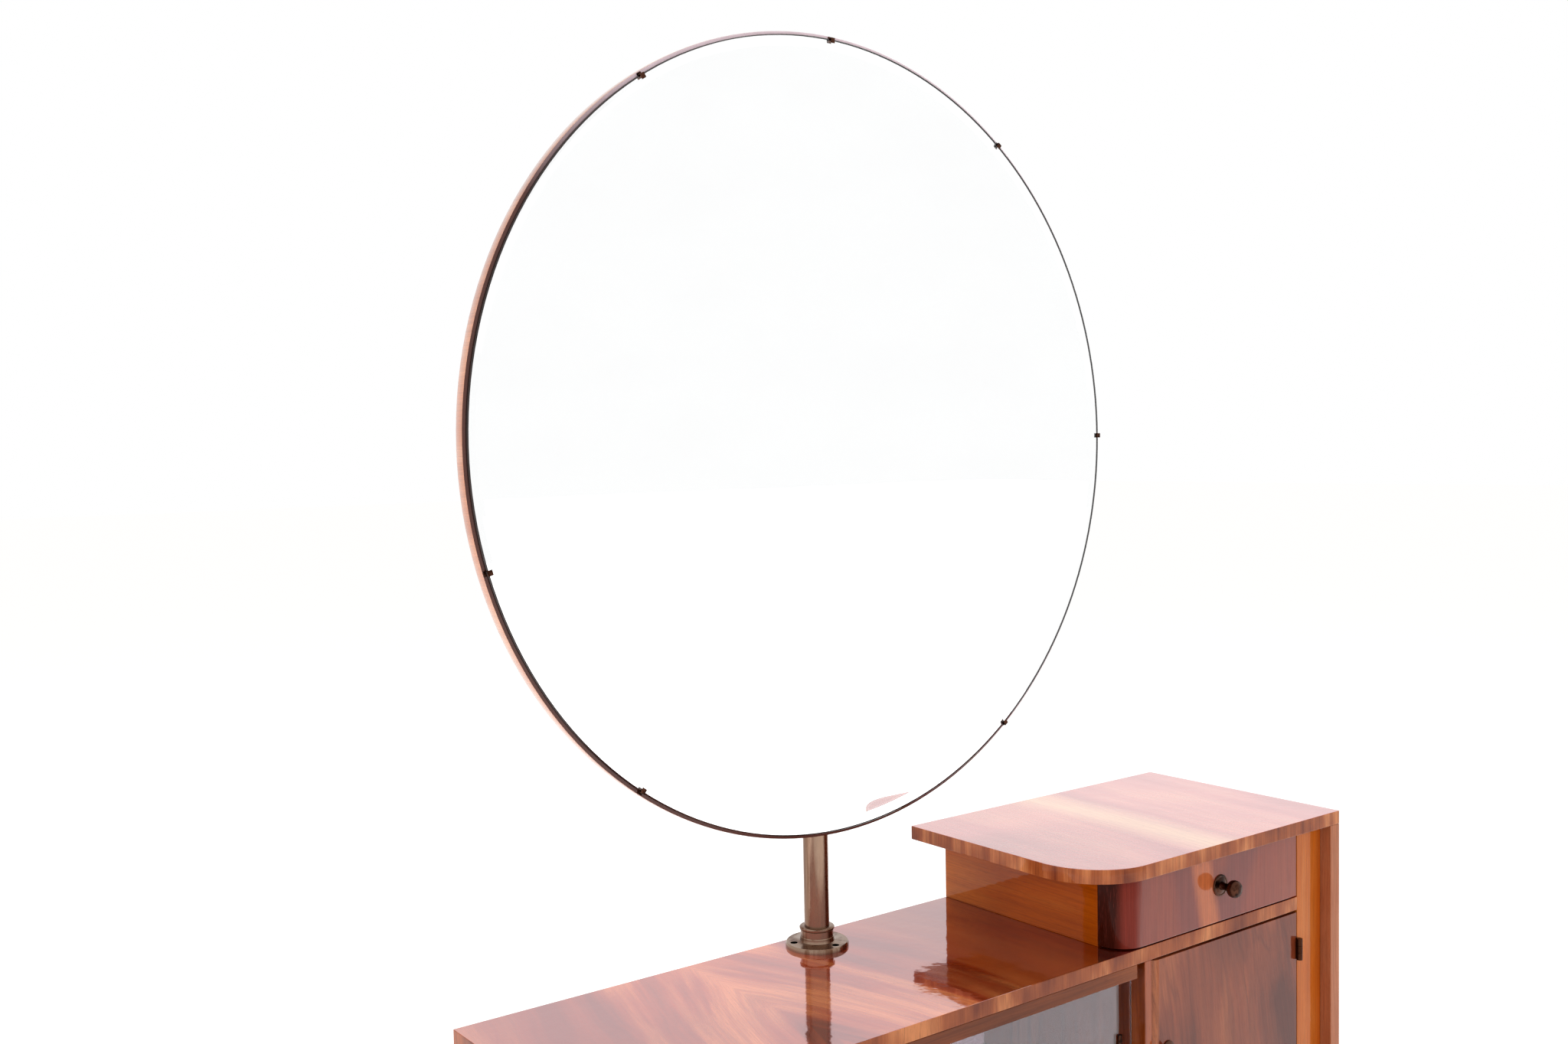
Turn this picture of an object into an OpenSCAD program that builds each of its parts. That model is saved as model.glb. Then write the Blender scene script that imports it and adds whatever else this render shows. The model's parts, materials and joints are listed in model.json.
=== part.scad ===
// Dressing table with a low glass-fronted cabinet, a pedestal with a drawer and a
// cupboard, and a round mirror on a turning pole.
// X runs along the length, Y from front (negative) to back, Z up from the floor.
// The origin is the middle of the overall footprint, on the floor.

/* [Case] */
// Length of the case from the low top's left end to the right side's outer face
table_w = 1150; // [1050:10:1300]
// Depth of the low top, which sets the plane of the drawer, door and stile
low_depth = 306; // [290:2:360]
// How far the pedestal top and the right side stand in front of that plane
top_overhang = 16; // [4:1:24]
// Height of the low top's upper face above the floor
low_h = 510; // [460:5:580]
// Rise from the low top's upper face to the pedestal top's upper face
pedestal_rise = 108; // [100:1:130]
// Thickness of the veneered boards
board_t = 18; // [16:1:20]
// Thickness of the right side
side_t = 20; // [16:1:24]
// Thickness of the back panels
back_t = 5; // [4:1:8]
// Height of the plinth
plinth_h = 60; // [40:5:90]
// Distance of the plinth behind the door plane
plinth_set = 20; // [20:1:40]

/* [Pedestal] */
// Distance of the pedestal top's left edge from the case's left end
pedestal_x = 660; // [640:5:680]
// Overhang of the pedestal top over its recessed left side
pedestal_side_set = 61; // [40:1:70]
// Radius of the pedestal top's front left corner
top_corner_r = 87; // [40:1:110]
// Width of the front stile at the right side
stile_w = 54; // [30:1:60]
// Depth of the front stile
stile_t = 20; // [18:1:24]

/* [Partition and shelves] */
// Distance of the partition's left face from the case's left end
partition_x = 763; // [750:1:780]
// Thickness of the partition
partition_t = 12; // [12:1:18]
// Thickness of the wooden shelf
shelf_t = 15; // [12:1:18]
// Thickness of the glass shelf
glass_shelf_t = 6; // [5:1:8]
// Height of the shelves' lower faces above the floor
shelf_z = 285; // [250:5:330]
// Diameter of a shelf pin
shelf_pin_d = 5; // [4:0.5:6]

/* [Sliding panes] */
// Thickness of a sliding glass pane
pane_t = 4; // [4:0.5:5]
// Overlap of the two closed panes
pane_overlap = 40; // [20:5:80]
// Distance of the front pane's middle plane behind the door plane
front_pane_set = 23; // [20:1:26]
// Distance between the middle planes of the two panes
pane_pitch = 17; // [12:1:20]
// How far the left pane stands open
left_pane_open = 115; // [0:1:200]
// Height of the upper track rail
upper_track_h = 17; // [15:1:25]
// Height of the lower track strip
lower_track_h = 6; // [5:1:10]
// Gap between the upper track's end and the partition
track_end_gap = 14; // [0:1:20]

/* [Drawer] */
// Thickness of the drawer front
drawer_front_t = 20; // [18:1:24]
// Outer radius of the drawer front's left corner
drawer_corner_r = 37; // [24:1:40]
// Thickness of the drawer sides and back
drawer_side_t = 12; // [10:1:14]
// Thickness of the drawer bottom
drawer_bottom_t = 4; // [3:1:6]
// Height of the drawer sides
drawer_side_h = 78; // [60:1:80]
// Distance of the knob from the stile's left edge
knob_x_set = 166; // [120:2:200]
// Diameter of the knob's rosette
rosette_d = 28; // [24:1:34]
// Diameter of the knob's head
knob_d = 22; // [18:1:26]
// Reach of the knob in front of the drawer
knob_reach = 30; // [26:1:36]

/* [Door] */
// Thickness of the door
door_t = 18; // [16:1:20]
// Radius of the door's rounded left edge
door_edge_r = 12; // [4:1:14]
// Height of the upper hinge's middle below the low top's upper face
hinge_drop = 70; // [60:1:100]
// Length of a hinge's barrel
hinge_len = 29; // [27:1:45]
// Diameter of a hinge's barrel
hinge_d = 8; // [8:0.4:10]
// Distance of the keyhole from the door's left edge
key_x_set = 28; // [26:1:36]
// Distance of the keyhole below the low top's upper face
key_drop = 140; // [110:1:160]

/* [Mirror] */
// Radius of the mirror's backing disc
mirror_r = 475; // [440:1:490]
// Thickness of the backing disc
mirror_board_t = 15; // [12:1:20]
// Width of the backing disc that shows round the glass
mirror_ring_w = 4; // [4:1:10]
// Thickness of the mirror glass
mirror_glass_t = 6; // [5:1:8]
// Width of the glass's bevel
bevel_w = 12.5; // [8:0.5:20]
// Height of the mirror's middle above the low top
mirror_rise = 623; // [605:1:680]
// Distance between the pole's axis and the backing disc's front face
mirror_set = 44; // [42:1:60]
// Distance of the pole's axis from the case's left end
pole_x = 466; // [440:1:480]
// Distance of the pole's axis from the back
pole_set = 40; // [40:1:60]
// Diameter of the pole
pole_d = 31; // [28:1:34]
// Diameter of the pole's flange
flange_d = 78; // [66:1:80]
// Height of the flange's disc
flange_t = 6; // [4:0.5:8]
// Diameter of the collar above the flange
collar_d = 42; // [40:1:48]
// Height of the collar above the flange's disc
collar_h = 19; // [14:1:28]

/* [Hidden] */
$fn = 96;

// Colours
walnut = [0.62, 0.36, 0.26];
walnut_front = [0.56, 0.38, 0.36];
walnut_inner = [0.58, 0.30, 0.12];
carcass = [0.72, 0.52, 0.34];
plinth_black = [0.13, 0.08, 0.06];
metal = [0.75, 0.72, 0.70];
old_brass = [0.45, 0.30, 0.16];
steel = [0.62, 0.62, 0.64];
glass = [0.72, 0.82, 0.84];
silvered = [0.86, 0.90, 0.92];

// Clearances
slide_gap = 0.2;
run_gap = 0.05;
screw_gap = 0.05;
rest_gap = 0.3;
cut = 1;

// Planes across the length
mirror_over = max(0, mirror_r - pole_x);
left_x = -(table_w - mirror_over) / 2;
right_x = left_x + table_w;
left_in_x = left_x + board_t;
right_in_x = right_x - side_t;
stile_x = right_in_x - stile_w;
part_l = left_x + partition_x;
part_r = part_l + partition_t;
top_left_x = left_x + pedestal_x;
upper_out_x = top_left_x + pedestal_side_set;
upper_in_x = upper_out_x + board_t;
axis_x = left_x + pole_x;

// Planes across the depth
back_y = (low_depth + knob_reach) / 2;
inner_back_y = back_y - back_t;
front_y = back_y - low_depth;
top_front_y = front_y - top_overhang;
stile_back_y = front_y + stile_t;
axis_y = back_y - pole_set;

// Planes up the height
low_z = low_h;
under_low_z = low_z - board_t;
top_z = low_z + pedestal_rise;
under_top_z = top_z - board_t;
floor_z = plinth_h + board_t;

// Lower and upper ends of the track and its two grooves
groove_w = pane_t + 1;
groove_d = 12;
lower_groove_d = 4;
track_wall = 7;
track_z = under_low_z - upper_track_h;
lower_track_z = floor_z + lower_track_h;
front_pane_y = front_y + front_pane_set;
rear_pane_y = front_pane_y + pane_pitch;
track_back_y = rear_pane_y + groove_w / 2 + track_wall;
track_front_y = front_pane_y - groove_w / 2 - track_wall;

// Sliding panes
pane_w = (part_l - left_in_x + pane_overlap) / 2 - rest_gap;
pane_z0 = lower_track_z - lower_groove_d + slide_gap;
pane_in = 6;
pane_z1 = track_z + pane_in;
left_pane_x = left_in_x + rest_gap + left_pane_open;
right_pane_x = part_l - rest_gap - pane_w;
grip_h = 60;
grip_w = 7;
grip_t = 2.5;
grip_set = 20;
grip_drop = 108;
grip_z = low_z - grip_drop - grip_h;

// Shelves
shelf_set = 6;
shelf_front_y = track_back_y + shelf_set;
shelf_gap = 0.5;
shelf_pin_in = 5;
shelf_pin_out = 8;
shelf_pin_set = 40;
shelf_pin_y = [shelf_front_y + shelf_pin_set, inner_back_y - shelf_pin_set];
glass_shelf_z = shelf_z + shelf_t;
cupboard_shelf_set = 10;

// Drawer, which runs on the low top
drawer_gap = 1.5;
drawer_right_x = stile_x - drawer_gap;
drawer_side_gap = 1.5;
box_l = upper_in_x + drawer_side_gap;
box_r = drawer_right_x;
box_z = low_z + slide_gap;
box_back_set = 25;
box_back_y = inner_back_y - box_back_set;
front_back_y = front_y + drawer_front_t;
front_z0 = low_z + drawer_gap;
front_z1 = under_top_z - drawer_gap;
return_y = front_y + drawer_corner_r;
return_gap = 1;
upper_front_y = return_y + return_gap;
bottom_in = 6;
bottom_lift = 8;
drawer_floor_z = box_z + bottom_lift;
kicker_gap = 1;
kicker_h = under_top_z - (box_z + drawer_side_h) - kicker_gap;
kicker_w = 18;
kicker_set = 4;
guide_h = 22;
stop_w = 40;
stop_h = 25;
drawer_back_drop = 6;
knob_x = stile_x - knob_x_set;
knob_rise = 3;
knob_z = (front_z0 + front_z1) / 2 + knob_rise;
rosette_t = 3;
rosette_step = 1.5;
rosette_rim_t = 2;
knob_neck_d = 11;
knob_head_t = 15;
knob_round = 5;
knob_screw_d = 4;
knob_screw_in = 12;
knob_screw_head_d = 8;
knob_screw_head_t = 2.5;

// Door
door_gap = 2;
door_top_gap = 3;
door_stop_t = 9;
door_stop_h = 12;
door_l = part_r + door_gap;
hinge_gap = 1.5;
door_r = stile_x - hinge_gap;
door_z0 = floor_z + door_gap;
door_z1 = under_low_z - door_top_gap;
door_back_y = front_y + door_t;

// Hinges
hinge_x = stile_x - hinge_gap / 2;
hinge_y = front_y - hinge_d / 2 - slide_gap;
hinge_pin_r = 2;
leaf_t = 1.2;
leaf_back = 3;
leaf_in = door_t - leaf_back;
hinge_z1 = low_z - hinge_drop;
hinge_z2 = door_z0 + (door_z1 - hinge_z1);
knuckle_gap = 0.3;
knuckle_len = (hinge_len - 2 * knuckle_gap) / 3;
leaf_screw_d = 3;
leaf_screw_len = 14;
leaf_screw_y = front_y + leaf_in / 2;
leaf_screw_end = 6;
leaf_screw_rise = hinge_len / 2 - leaf_screw_end;
leaf_web_gap = 0.4;

// Lock and key
key_x = door_l + key_x_set;
key_z = low_z - key_drop;
lock_w = 50;
lock_h = 60;
lock_t = 8;
lock_wall = 1.2;
lock_y = door_back_y - lock_t;
bolt_h = 12;
bolt_t = 4;
bolt_throw = 6;
bolt_tail_t = 1.8;
bolt_head_w = 13;
bolt_tail_end = 4;
bolt_y = door_back_y - lock_wall - bolt_t;
key_d = 4.5;
key_bit_r = 9;
key_bit_t = 2.4;
key_bit_w = 2.5;
keyhole_w = 3.4;
key_hole_gap = 0.4;
key_end_y = bolt_y + bolt_t - bolt_tail_t - key_hole_gap;
key_bit_y = lock_y + lock_wall + key_hole_gap;
bow_d = 20;
bow_t = 3;
bow_hole_d = 11;
bow_lap = 1;
bow_set = 8;
bow_y = front_y - bow_set;
escutcheon_w = 22;
escutcheon_h = 32;
escutcheon_t = 1.5;
escutcheon_drop = 2;
strike_t = 1.2;
strike_h = 40;
strike_w = 10;

// Pole and tilt joint
post_z = low_z + flange_t + rest_gap;
tilt_z = low_z + mirror_rise;
head_drop = 25;
head_z = tilt_z - head_drop;
head_t = 10;
head_lap = 8;
tongue_top = 4;
tongue_back = 8;
disc_front_y = axis_y - mirror_set;
disc_back_y = disc_front_y + mirror_board_t;
plate_t = 3;
plate_r = 55;
plate_back_y = disc_back_y + plate_t;
tilt_set = 12;
tilt_y = plate_back_y + tilt_set;
tongue_w = 20;
tongue_r = 8.5;
ear_t = 4;
ear_gap = 0.1;
tilt_bolt_r = 4;
tilt_head_d = 14;
tilt_head_t = 5;
tilt_nut_t = 7;
tilt_bolt_out = 8;
rod_r = 6;
rod_hole_gap = 0.5;
pole_wall = 2;
plug_h = 20;
nut_d = 24;
nut_h = 10;
washer_d = 40;
washer_t = 3;
rod_out = 6;
flange_screw_d = 5;
flange_screw_head_d = 9;
flange_screw_head_t = 2;
flange_screw_len = 20;
flange_screw_turn = 160;
flange_edge = 1.5;
collar_low_h = 0.34;
collar_band_h = 0.25;
collar_step = 0.8;
collar_band = 0.6;
flange_screw_ring = (flange_d + collar_d) / 4;
plate_screw_d = 4;
plate_screw_head_d = 8;
plate_screw_head_t = 2;
plate_screw_len = 13;
plate_screw_ring = 42;
plate_screw_angles = [45, 135, 225, 315];

// Mirror clips, at the places where they hold the disc's rim
clip_angles = [0, 53, 89, 123, 196, 234, 307];
glass_r = mirror_r - mirror_ring_w;
glass_edge_t = mirror_glass_t - 2;
clip_w = 6;
clip_t = 1;
clip_hook = 5;
clip_gap = 0.2;
clip_rim = 1;

// A box between two planes on each axis
module block(x, y, z) {
    translate([x[0], y[0], z[0]])
        cube([x[1] - x[0], y[1] - y[0], z[1] - z[0]]);
}

// A plan with its front left corner rounded
module rounded_plan(x, y, r) {
    translate([x[0] + r, y[0]])
        square([x[1] - x[0] - r, y[1] - y[0]]);
    if (y[1] - y[0] > r)
        translate([x[0], y[0] + r])
            square([x[1] - x[0], y[1] - y[0] - r]);
    intersection() {
        translate([x[0], y[0]])
            square(r);
        translate([x[0] + r, y[0] + r])
            circle(r);
    }
}

// A round bar between two planes along X
module bar_x(x, y, z, r) {
    translate([x[0], y, z])
        rotate([0, 90, 0])
            cylinder(h = x[1] - x[0], r = r);
}

// A round bar between two planes along Y
module bar_y(x, y, z, r) {
    translate([x, y[1], z])
        rotate([90, 0, 0])
            cylinder(h = y[1] - y[0], r = r);
}

// A round bar between two planes along Z
module bar_z(x, y, z, r) {
    translate([x, y, z[0]])
        cylinder(h = z[1] - z[0], r = r);
}

// Case

module low_top() {
    color(walnut)
        difference() {
            block([left_x, right_in_x], [front_y, back_y], [under_low_z, low_z]);
            block([stile_x, right_in_x + cut], [front_y - cut, stile_back_y],
                  [under_low_z - cut, low_z + cut]);
            bar_z(axis_x, axis_y, [under_low_z - cut, low_z + cut],
                  rod_r + rod_hole_gap);
            for (spot = flange_screw_spots())
                bar_z(spot[0], spot[1], [low_z + flange_t - flange_screw_len, low_z + cut],
                      flange_screw_d / 2 + screw_gap);
        }
}

module track_grooves(x, z) {
    for (y = [front_pane_y, rear_pane_y])
        block(x, [y - groove_w / 2, y + groove_w / 2], z);
}

module upper_glass_track() {
    end_x = part_l - track_end_gap;
    color(walnut)
        difference() {
            block([left_in_x, end_x], [front_y, track_back_y], [track_z, under_low_z]);
            track_grooves([left_in_x - cut, end_x + cut],
                          [track_z - cut, track_z + groove_d]);
        }
}

module lower_glass_track() {
    color(walnut)
        difference() {
            block([left_in_x, part_l], [track_front_y, track_back_y],
                  [floor_z, lower_track_z]);
            track_grooves([left_in_x - cut, part_l + cut],
                          [lower_track_z - lower_groove_d, lower_track_z + cut]);
        }
}

// Shelf pin holes or pins in one wall: side is 1 where the pins point to +X
module pin_row(wall_x, side, z, inner, outer, r) {
    for (y = shelf_pin_y)
        bar_x([min(wall_x - side * inner, wall_x + side * outer),
               max(wall_x - side * inner, wall_x + side * outer)], y, z, r);
}

module pin_holes(wall_x, side, z) {
    pin_row(wall_x, side, z - shelf_pin_d / 2, shelf_pin_in, cut,
            shelf_pin_d / 2 + screw_gap);
}

module left_side() {
    color(walnut)
        difference() {
            block([left_x, left_in_x], [front_y, back_y], [0, under_low_z]);
            pin_holes(left_in_x, 1, glass_shelf_z);
        }
}

module partition() {
    color(walnut)
        difference() {
            block([part_l, part_r], [front_y, inner_back_y], [floor_z, under_low_z]);
            pin_holes(part_l, -1, glass_shelf_z);
            pin_holes(part_r, 1, shelf_z);
            strike_block(part_r - strike_t, part_r + cut, strike_w, strike_h);
            strike_block(part_r - bolt_throw - cut, part_r, bolt_t + 1, bolt_h + 2);
        }
}

// A block centred on the lock bolt, between two planes across the length
module strike_block(x0, x1, w, h) {
    block([x0, x1], [bolt_y + bolt_t / 2 - w / 2, bolt_y + bolt_t / 2 + w / 2],
          [key_z - h / 2, key_z + h / 2]);
}

module bottom_panel() {
    color(walnut)
        difference() {
            block([left_in_x, right_in_x], [front_y, inner_back_y], [plinth_h, floor_z]);
            block([stile_x, right_in_x + cut], [front_y - cut, stile_back_y],
                  [plinth_h - cut, floor_z + cut]);
        }
}

module back_panel() {
    color(carcass)
        block([left_in_x, right_in_x], [inner_back_y, back_y], [plinth_h, under_low_z]);
}

module right_side() {
    color(walnut)
        difference() {
            block([right_in_x, right_x], [top_front_y, back_y], [0, under_top_z]);
            pin_holes(right_in_x, -1, shelf_z);
        }
}

module front_stile() {
    color(walnut)
        difference() {
            block([stile_x, right_in_x], [front_y, stile_back_y], [0, under_top_z]);
            for (z = [hinge_z1, hinge_z2]) {
                leaf_seat([stile_x - cut, stile_x + leaf_t], z);
                leaf_screws(stile_x + leaf_t, 1, z, screw_gap);
            }
        }
}

module upper_side() {
    color(walnut_inner)
        block([upper_out_x, upper_in_x], [upper_front_y, back_y], [low_z, under_top_z]);
}

module pedestal_top() {
    color(walnut)
        translate([0, 0, under_top_z])
            linear_extrude(board_t)
                rounded_plan([top_left_x, right_x], [top_front_y, back_y], top_corner_r);
}

module upper_back_panel() {
    color(carcass)
        block([upper_in_x, right_in_x], [inner_back_y, back_y], [low_z, under_top_z]);
}

module plinth_front() {
    color(plinth_black)
        block([left_in_x, right_in_x],
              [front_y + plinth_set, front_y + plinth_set + board_t], [0, plinth_h]);
}

module plinth_back() {
    color(plinth_black)
        block([left_in_x, right_in_x], [inner_back_y - board_t, inner_back_y],
              [0, plinth_h]);
}

module plinth_rail() {
    x = (part_l + part_r) / 2;
    color(carcass)
        block([x - board_t / 2, x + board_t / 2],
              [front_y + plinth_set + board_t, inner_back_y - board_t], [0, plinth_h]);
}

module cupboard_shelf() {
    color(walnut_inner)
        block([part_r + shelf_gap, right_in_x - shelf_gap],
              [door_back_y + cupboard_shelf_set, inner_back_y - shelf_gap], [shelf_z, shelf_z + shelf_t]);
}

module glass_shelf() {
    color(glass)
        block([left_in_x + shelf_gap, part_l - shelf_gap],
              [shelf_front_y, inner_back_y - shelf_gap],
              [glass_shelf_z, glass_shelf_z + glass_shelf_t]);
}

module shelf_pins() {
    r = shelf_pin_d / 2;
    color(steel) {
        pin_row(left_in_x, 1, glass_shelf_z - r, shelf_pin_in, shelf_pin_out, r);
        pin_row(part_l, -1, glass_shelf_z - r, shelf_pin_in, shelf_pin_out, r);
        pin_row(part_r, 1, shelf_z - r, shelf_pin_in, shelf_pin_out, r);
        pin_row(right_in_x, -1, shelf_z - r, shelf_pin_in, shelf_pin_out, r);
    }
}

module drawer_guide() {
    color(carcass)
        block([box_r + drawer_side_gap, right_in_x], [stile_back_y, box_back_y],
              [low_z, low_z + guide_h]);
}

module drawer_kickers() {
    z = [under_top_z - kicker_h, under_top_z];
    y = [return_y + kicker_set, box_back_y];
    color(carcass) {
        block([upper_in_x, upper_in_x + kicker_w], y, z);
        block([box_r - drawer_side_t, box_r - drawer_side_t + kicker_w], y, z);
    }
}

module drawer_stop() {
    x = (box_l + box_r) / 2;
    color(carcass)
        block([x - stop_w / 2, x + stop_w / 2], [box_back_y + rest_gap, inner_back_y],
              [low_z, low_z + stop_h]);
}

module door_stop() {
    color(carcass)
        block([part_r, stile_x],
              [door_back_y + rest_gap, door_back_y + rest_gap + door_stop_t],
              [under_low_z - door_stop_h, under_low_z]);
}

// Hinges

// The recess of one leaf in the door's or the stile's edge
module leaf_seat(x, z) {
    block(x, [front_y - cut, front_y + leaf_in], [z - hinge_len / 2, z + hinge_len / 2]);
}

// Two screws of one leaf: side is 1 where they point to +X
module leaf_screws(x, side, z, gap) {
    for (rise = [-leaf_screw_rise, leaf_screw_rise])
        bar_x([min(x, x + side * leaf_screw_len), max(x, x + side * leaf_screw_len)],
              leaf_screw_y, z + rise, leaf_screw_d / 2 + gap);
}

// One leaf with its knuckles, which count from the barrel's lower end
module hinge_leaf(x, z, knuckles) {
    difference() {
        union() {
            block(x, [front_y, front_y + leaf_in], [z - hinge_len / 2, z + hinge_len / 2]);
            for (k = knuckles) {
                z0 = z - hinge_len / 2 + k * (knuckle_len + knuckle_gap);
                bar_z(hinge_x, hinge_y, [z0, z0 + knuckle_len], hinge_d / 2);
                block(x, [hinge_y + hinge_pin_r + leaf_web_gap, front_y], [z0, z0 + knuckle_len]);
            }
        }
        bar_z(hinge_x, hinge_y, [z - hinge_len, z + hinge_len], hinge_pin_r + run_gap);
        for (rise = [-leaf_screw_rise, leaf_screw_rise])
            bar_x([x[0] - cut, x[1] + cut], leaf_screw_y, z + rise,
                  leaf_screw_d / 2 + screw_gap);
    }
}

module hinge_stile_leaves() {
    color(old_brass)
        for (z = [hinge_z1, hinge_z2])
            hinge_leaf([stile_x, stile_x + leaf_t], z, [0, 2]);
}

module hinge_door_leaves() {
    color(old_brass)
        for (z = [hinge_z1, hinge_z2])
            hinge_leaf([door_r - leaf_t, door_r], z, [1]);
}

module hinge_pins() {
    color(old_brass)
        for (z = [hinge_z1, hinge_z2])
            bar_z(hinge_x, hinge_y, [z - hinge_len / 2, z + hinge_len / 2], hinge_pin_r);
}

module hinge_stile_screws() {
    color(old_brass)
        for (z = [hinge_z1, hinge_z2])
            leaf_screws(stile_x, 1, z, 0);
}

module hinge_door_screws() {
    color(old_brass)
        for (z = [hinge_z1, hinge_z2])
            leaf_screws(door_r, -1, z, 0);
}

// Drawer

module drawer_front() {
    y = [front_y, return_y];
    color(walnut_front)
        difference() {
            translate([0, 0, front_z0])
                linear_extrude(front_z1 - front_z0)
                    difference() {
                        rounded_plan([upper_out_x, drawer_right_x], y, drawer_corner_r);
                        translate([upper_in_x, front_back_y])
                            square([drawer_right_x - upper_in_x + cut,
                                    drawer_corner_r - drawer_front_t + cut]);
                    }
            block([box_l + bottom_in, box_r - bottom_in],
                  [front_back_y - bottom_in, front_back_y + cut],
                  [drawer_floor_z, drawer_floor_z + drawer_bottom_t]);
            bar_y(knob_x, [front_y - cut, front_back_y + cut], knob_z,
                  knob_screw_d / 2 + screw_gap);
        }
}

// The groove in which the drawer bottom lies
module bottom_groove() {
    block([box_l + bottom_in, box_r - bottom_in], [front_back_y - bottom_in, box_back_y],
          [drawer_floor_z, drawer_floor_z + drawer_bottom_t]);
}

module drawer_side(x) {
    color(carcass)
        difference() {
            block([x, x + drawer_side_t], [front_back_y, box_back_y],
                  [box_z, box_z + drawer_side_h]);
            bottom_groove();
        }
}

module drawer_left_side() {
    drawer_side(box_l);
}

module drawer_right_side() {
    drawer_side(box_r - drawer_side_t);
}

module drawer_back() {
    color(carcass)
        block([box_l + drawer_side_t, box_r - drawer_side_t],
              [box_back_y - drawer_side_t, box_back_y],
              [drawer_floor_z + drawer_bottom_t, box_z + drawer_side_h - drawer_back_drop]);
}

module drawer_bottom() {
    color(carcass)
        bottom_groove();
}

// Places a profile drawn with radius along X and reach along Y on the knob's axis
module turned_on_knob_axis() {
    translate([knob_x, front_y, knob_z])
        rotate([90, 0, 0])
            rotate_extrude()
                children();
}

module knob_rosette() {
    color(old_brass)
        turned_on_knob_axis()
            difference() {
                union() {
                    square([rosette_d / 2, rosette_rim_t]);
                    square([rosette_d / 2 - rosette_step, rosette_t]);
                }
                translate([0, -cut])
                    square([knob_screw_d / 2 + screw_gap, rosette_t + 2 * cut]);
            }
}

module drawer_knob() {
    head_r = knob_d / 2;
    head_y = knob_reach - knob_head_t;
    color(old_brass)
        turned_on_knob_axis()
            difference() {
                union() {
                    translate([0, rosette_t])
                        square([knob_neck_d / 2, head_y - rosette_t + knob_round]);
                    translate([0, head_y + knob_round])
                        square([head_r, knob_head_t - 2 * knob_round]);
                    translate([0, head_y])
                        square([head_r - knob_round, knob_head_t]);
                    for (y = [head_y + knob_round, knob_reach - knob_round])
                        translate([head_r - knob_round, y])
                            circle(knob_round);
                }
                translate([0, -cut])
                    square([knob_screw_d / 2 + screw_gap,
                            rosette_t + knob_screw_in + 2 * cut]);
            }
}

module knob_screw() {
    color(steel) {
        bar_y(knob_x, [front_y - rosette_t - knob_screw_in, front_back_y], knob_z,
              knob_screw_d / 2);
        bar_y(knob_x, [front_back_y, front_back_y + knob_screw_head_t], knob_z,
              knob_screw_head_d / 2);
    }
}

// Door

module door_panel() {
    color(walnut_front)
        difference() {
            translate([0, 0, door_z0])
                linear_extrude(door_z1 - door_z0)
                    rounded_plan([door_l, door_r], [front_y, door_back_y], door_edge_r);
            for (z = [hinge_z1, hinge_z2]) {
                leaf_seat([door_r - leaf_t, door_r + cut], z);
                leaf_screws(door_r - leaf_t, -1, z, screw_gap);
            }
            block([door_l - cut, door_l + lock_w], [lock_y, door_back_y + cut],
                  [key_z - lock_h / 2, key_z + lock_h / 2]);
            keyhole([front_y - cut, lock_y + cut]);
        }
}

// The keyhole between two planes across the depth
module keyhole(y) {
    bar_y(key_x, y, key_z, key_d / 2 + key_hole_gap);
    block([key_x - keyhole_w / 2, key_x + keyhole_w / 2], y,
          [key_z - key_bit_r - key_hole_gap, key_z]);
}

module escutcheon() {
    r = escutcheon_w / 2;
    mid_z = key_z - escutcheon_drop;
    shift = (escutcheon_h - escutcheon_w) / 2;
    y = [front_y - escutcheon_t, front_y];
    color(old_brass)
        difference() {
            union() {
                for (z = [mid_z - shift, mid_z + shift])
                    bar_y(key_x, y, z, r);
                block([key_x - r, key_x + r], y, [mid_z - shift, mid_z + shift]);
            }
            keyhole([y[0] - cut, y[1] + cut]);
        }
}

module lock_case() {
    inner_y = [lock_y + lock_wall, door_back_y - lock_wall];
    color(steel)
        difference() {
            block([door_l + slide_gap, door_l + lock_w], [lock_y, door_back_y],
                  [key_z - lock_h / 2, key_z + lock_h / 2]);
            block([door_l + slide_gap + lock_wall, door_l + lock_w - lock_wall], inner_y,
                  [key_z - lock_h / 2 + lock_wall, key_z + lock_h / 2 - lock_wall]);
            keyhole([lock_y - cut, lock_y + lock_wall + cut]);
            block([door_l - cut, door_l + 2 * lock_wall],
                  [bolt_y - slide_gap, inner_y[1]],
                  [key_z - bolt_h / 2 - slide_gap, key_z + bolt_h / 2 + slide_gap]);
        }
}

module lock_bolt() {
    head_x = door_l + bolt_head_w;
    z = [key_z - bolt_h / 2, key_z + bolt_h / 2];
    color(old_brass) {
        block([door_l + slide_gap, head_x], [bolt_y, bolt_y + bolt_t - slide_gap], z);
        block([head_x, door_l + lock_w - lock_wall - bolt_tail_end],
              [bolt_y + bolt_t - bolt_tail_t, bolt_y + bolt_t - slide_gap], z);
    }
}

module strike_plate() {
    color(old_brass)
        difference() {
            strike_block(part_r - strike_t, part_r, strike_w, strike_h);
            strike_block(part_r - strike_t - cut, part_r + cut, bolt_t + 1, bolt_h + 2);
        }
}

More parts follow.
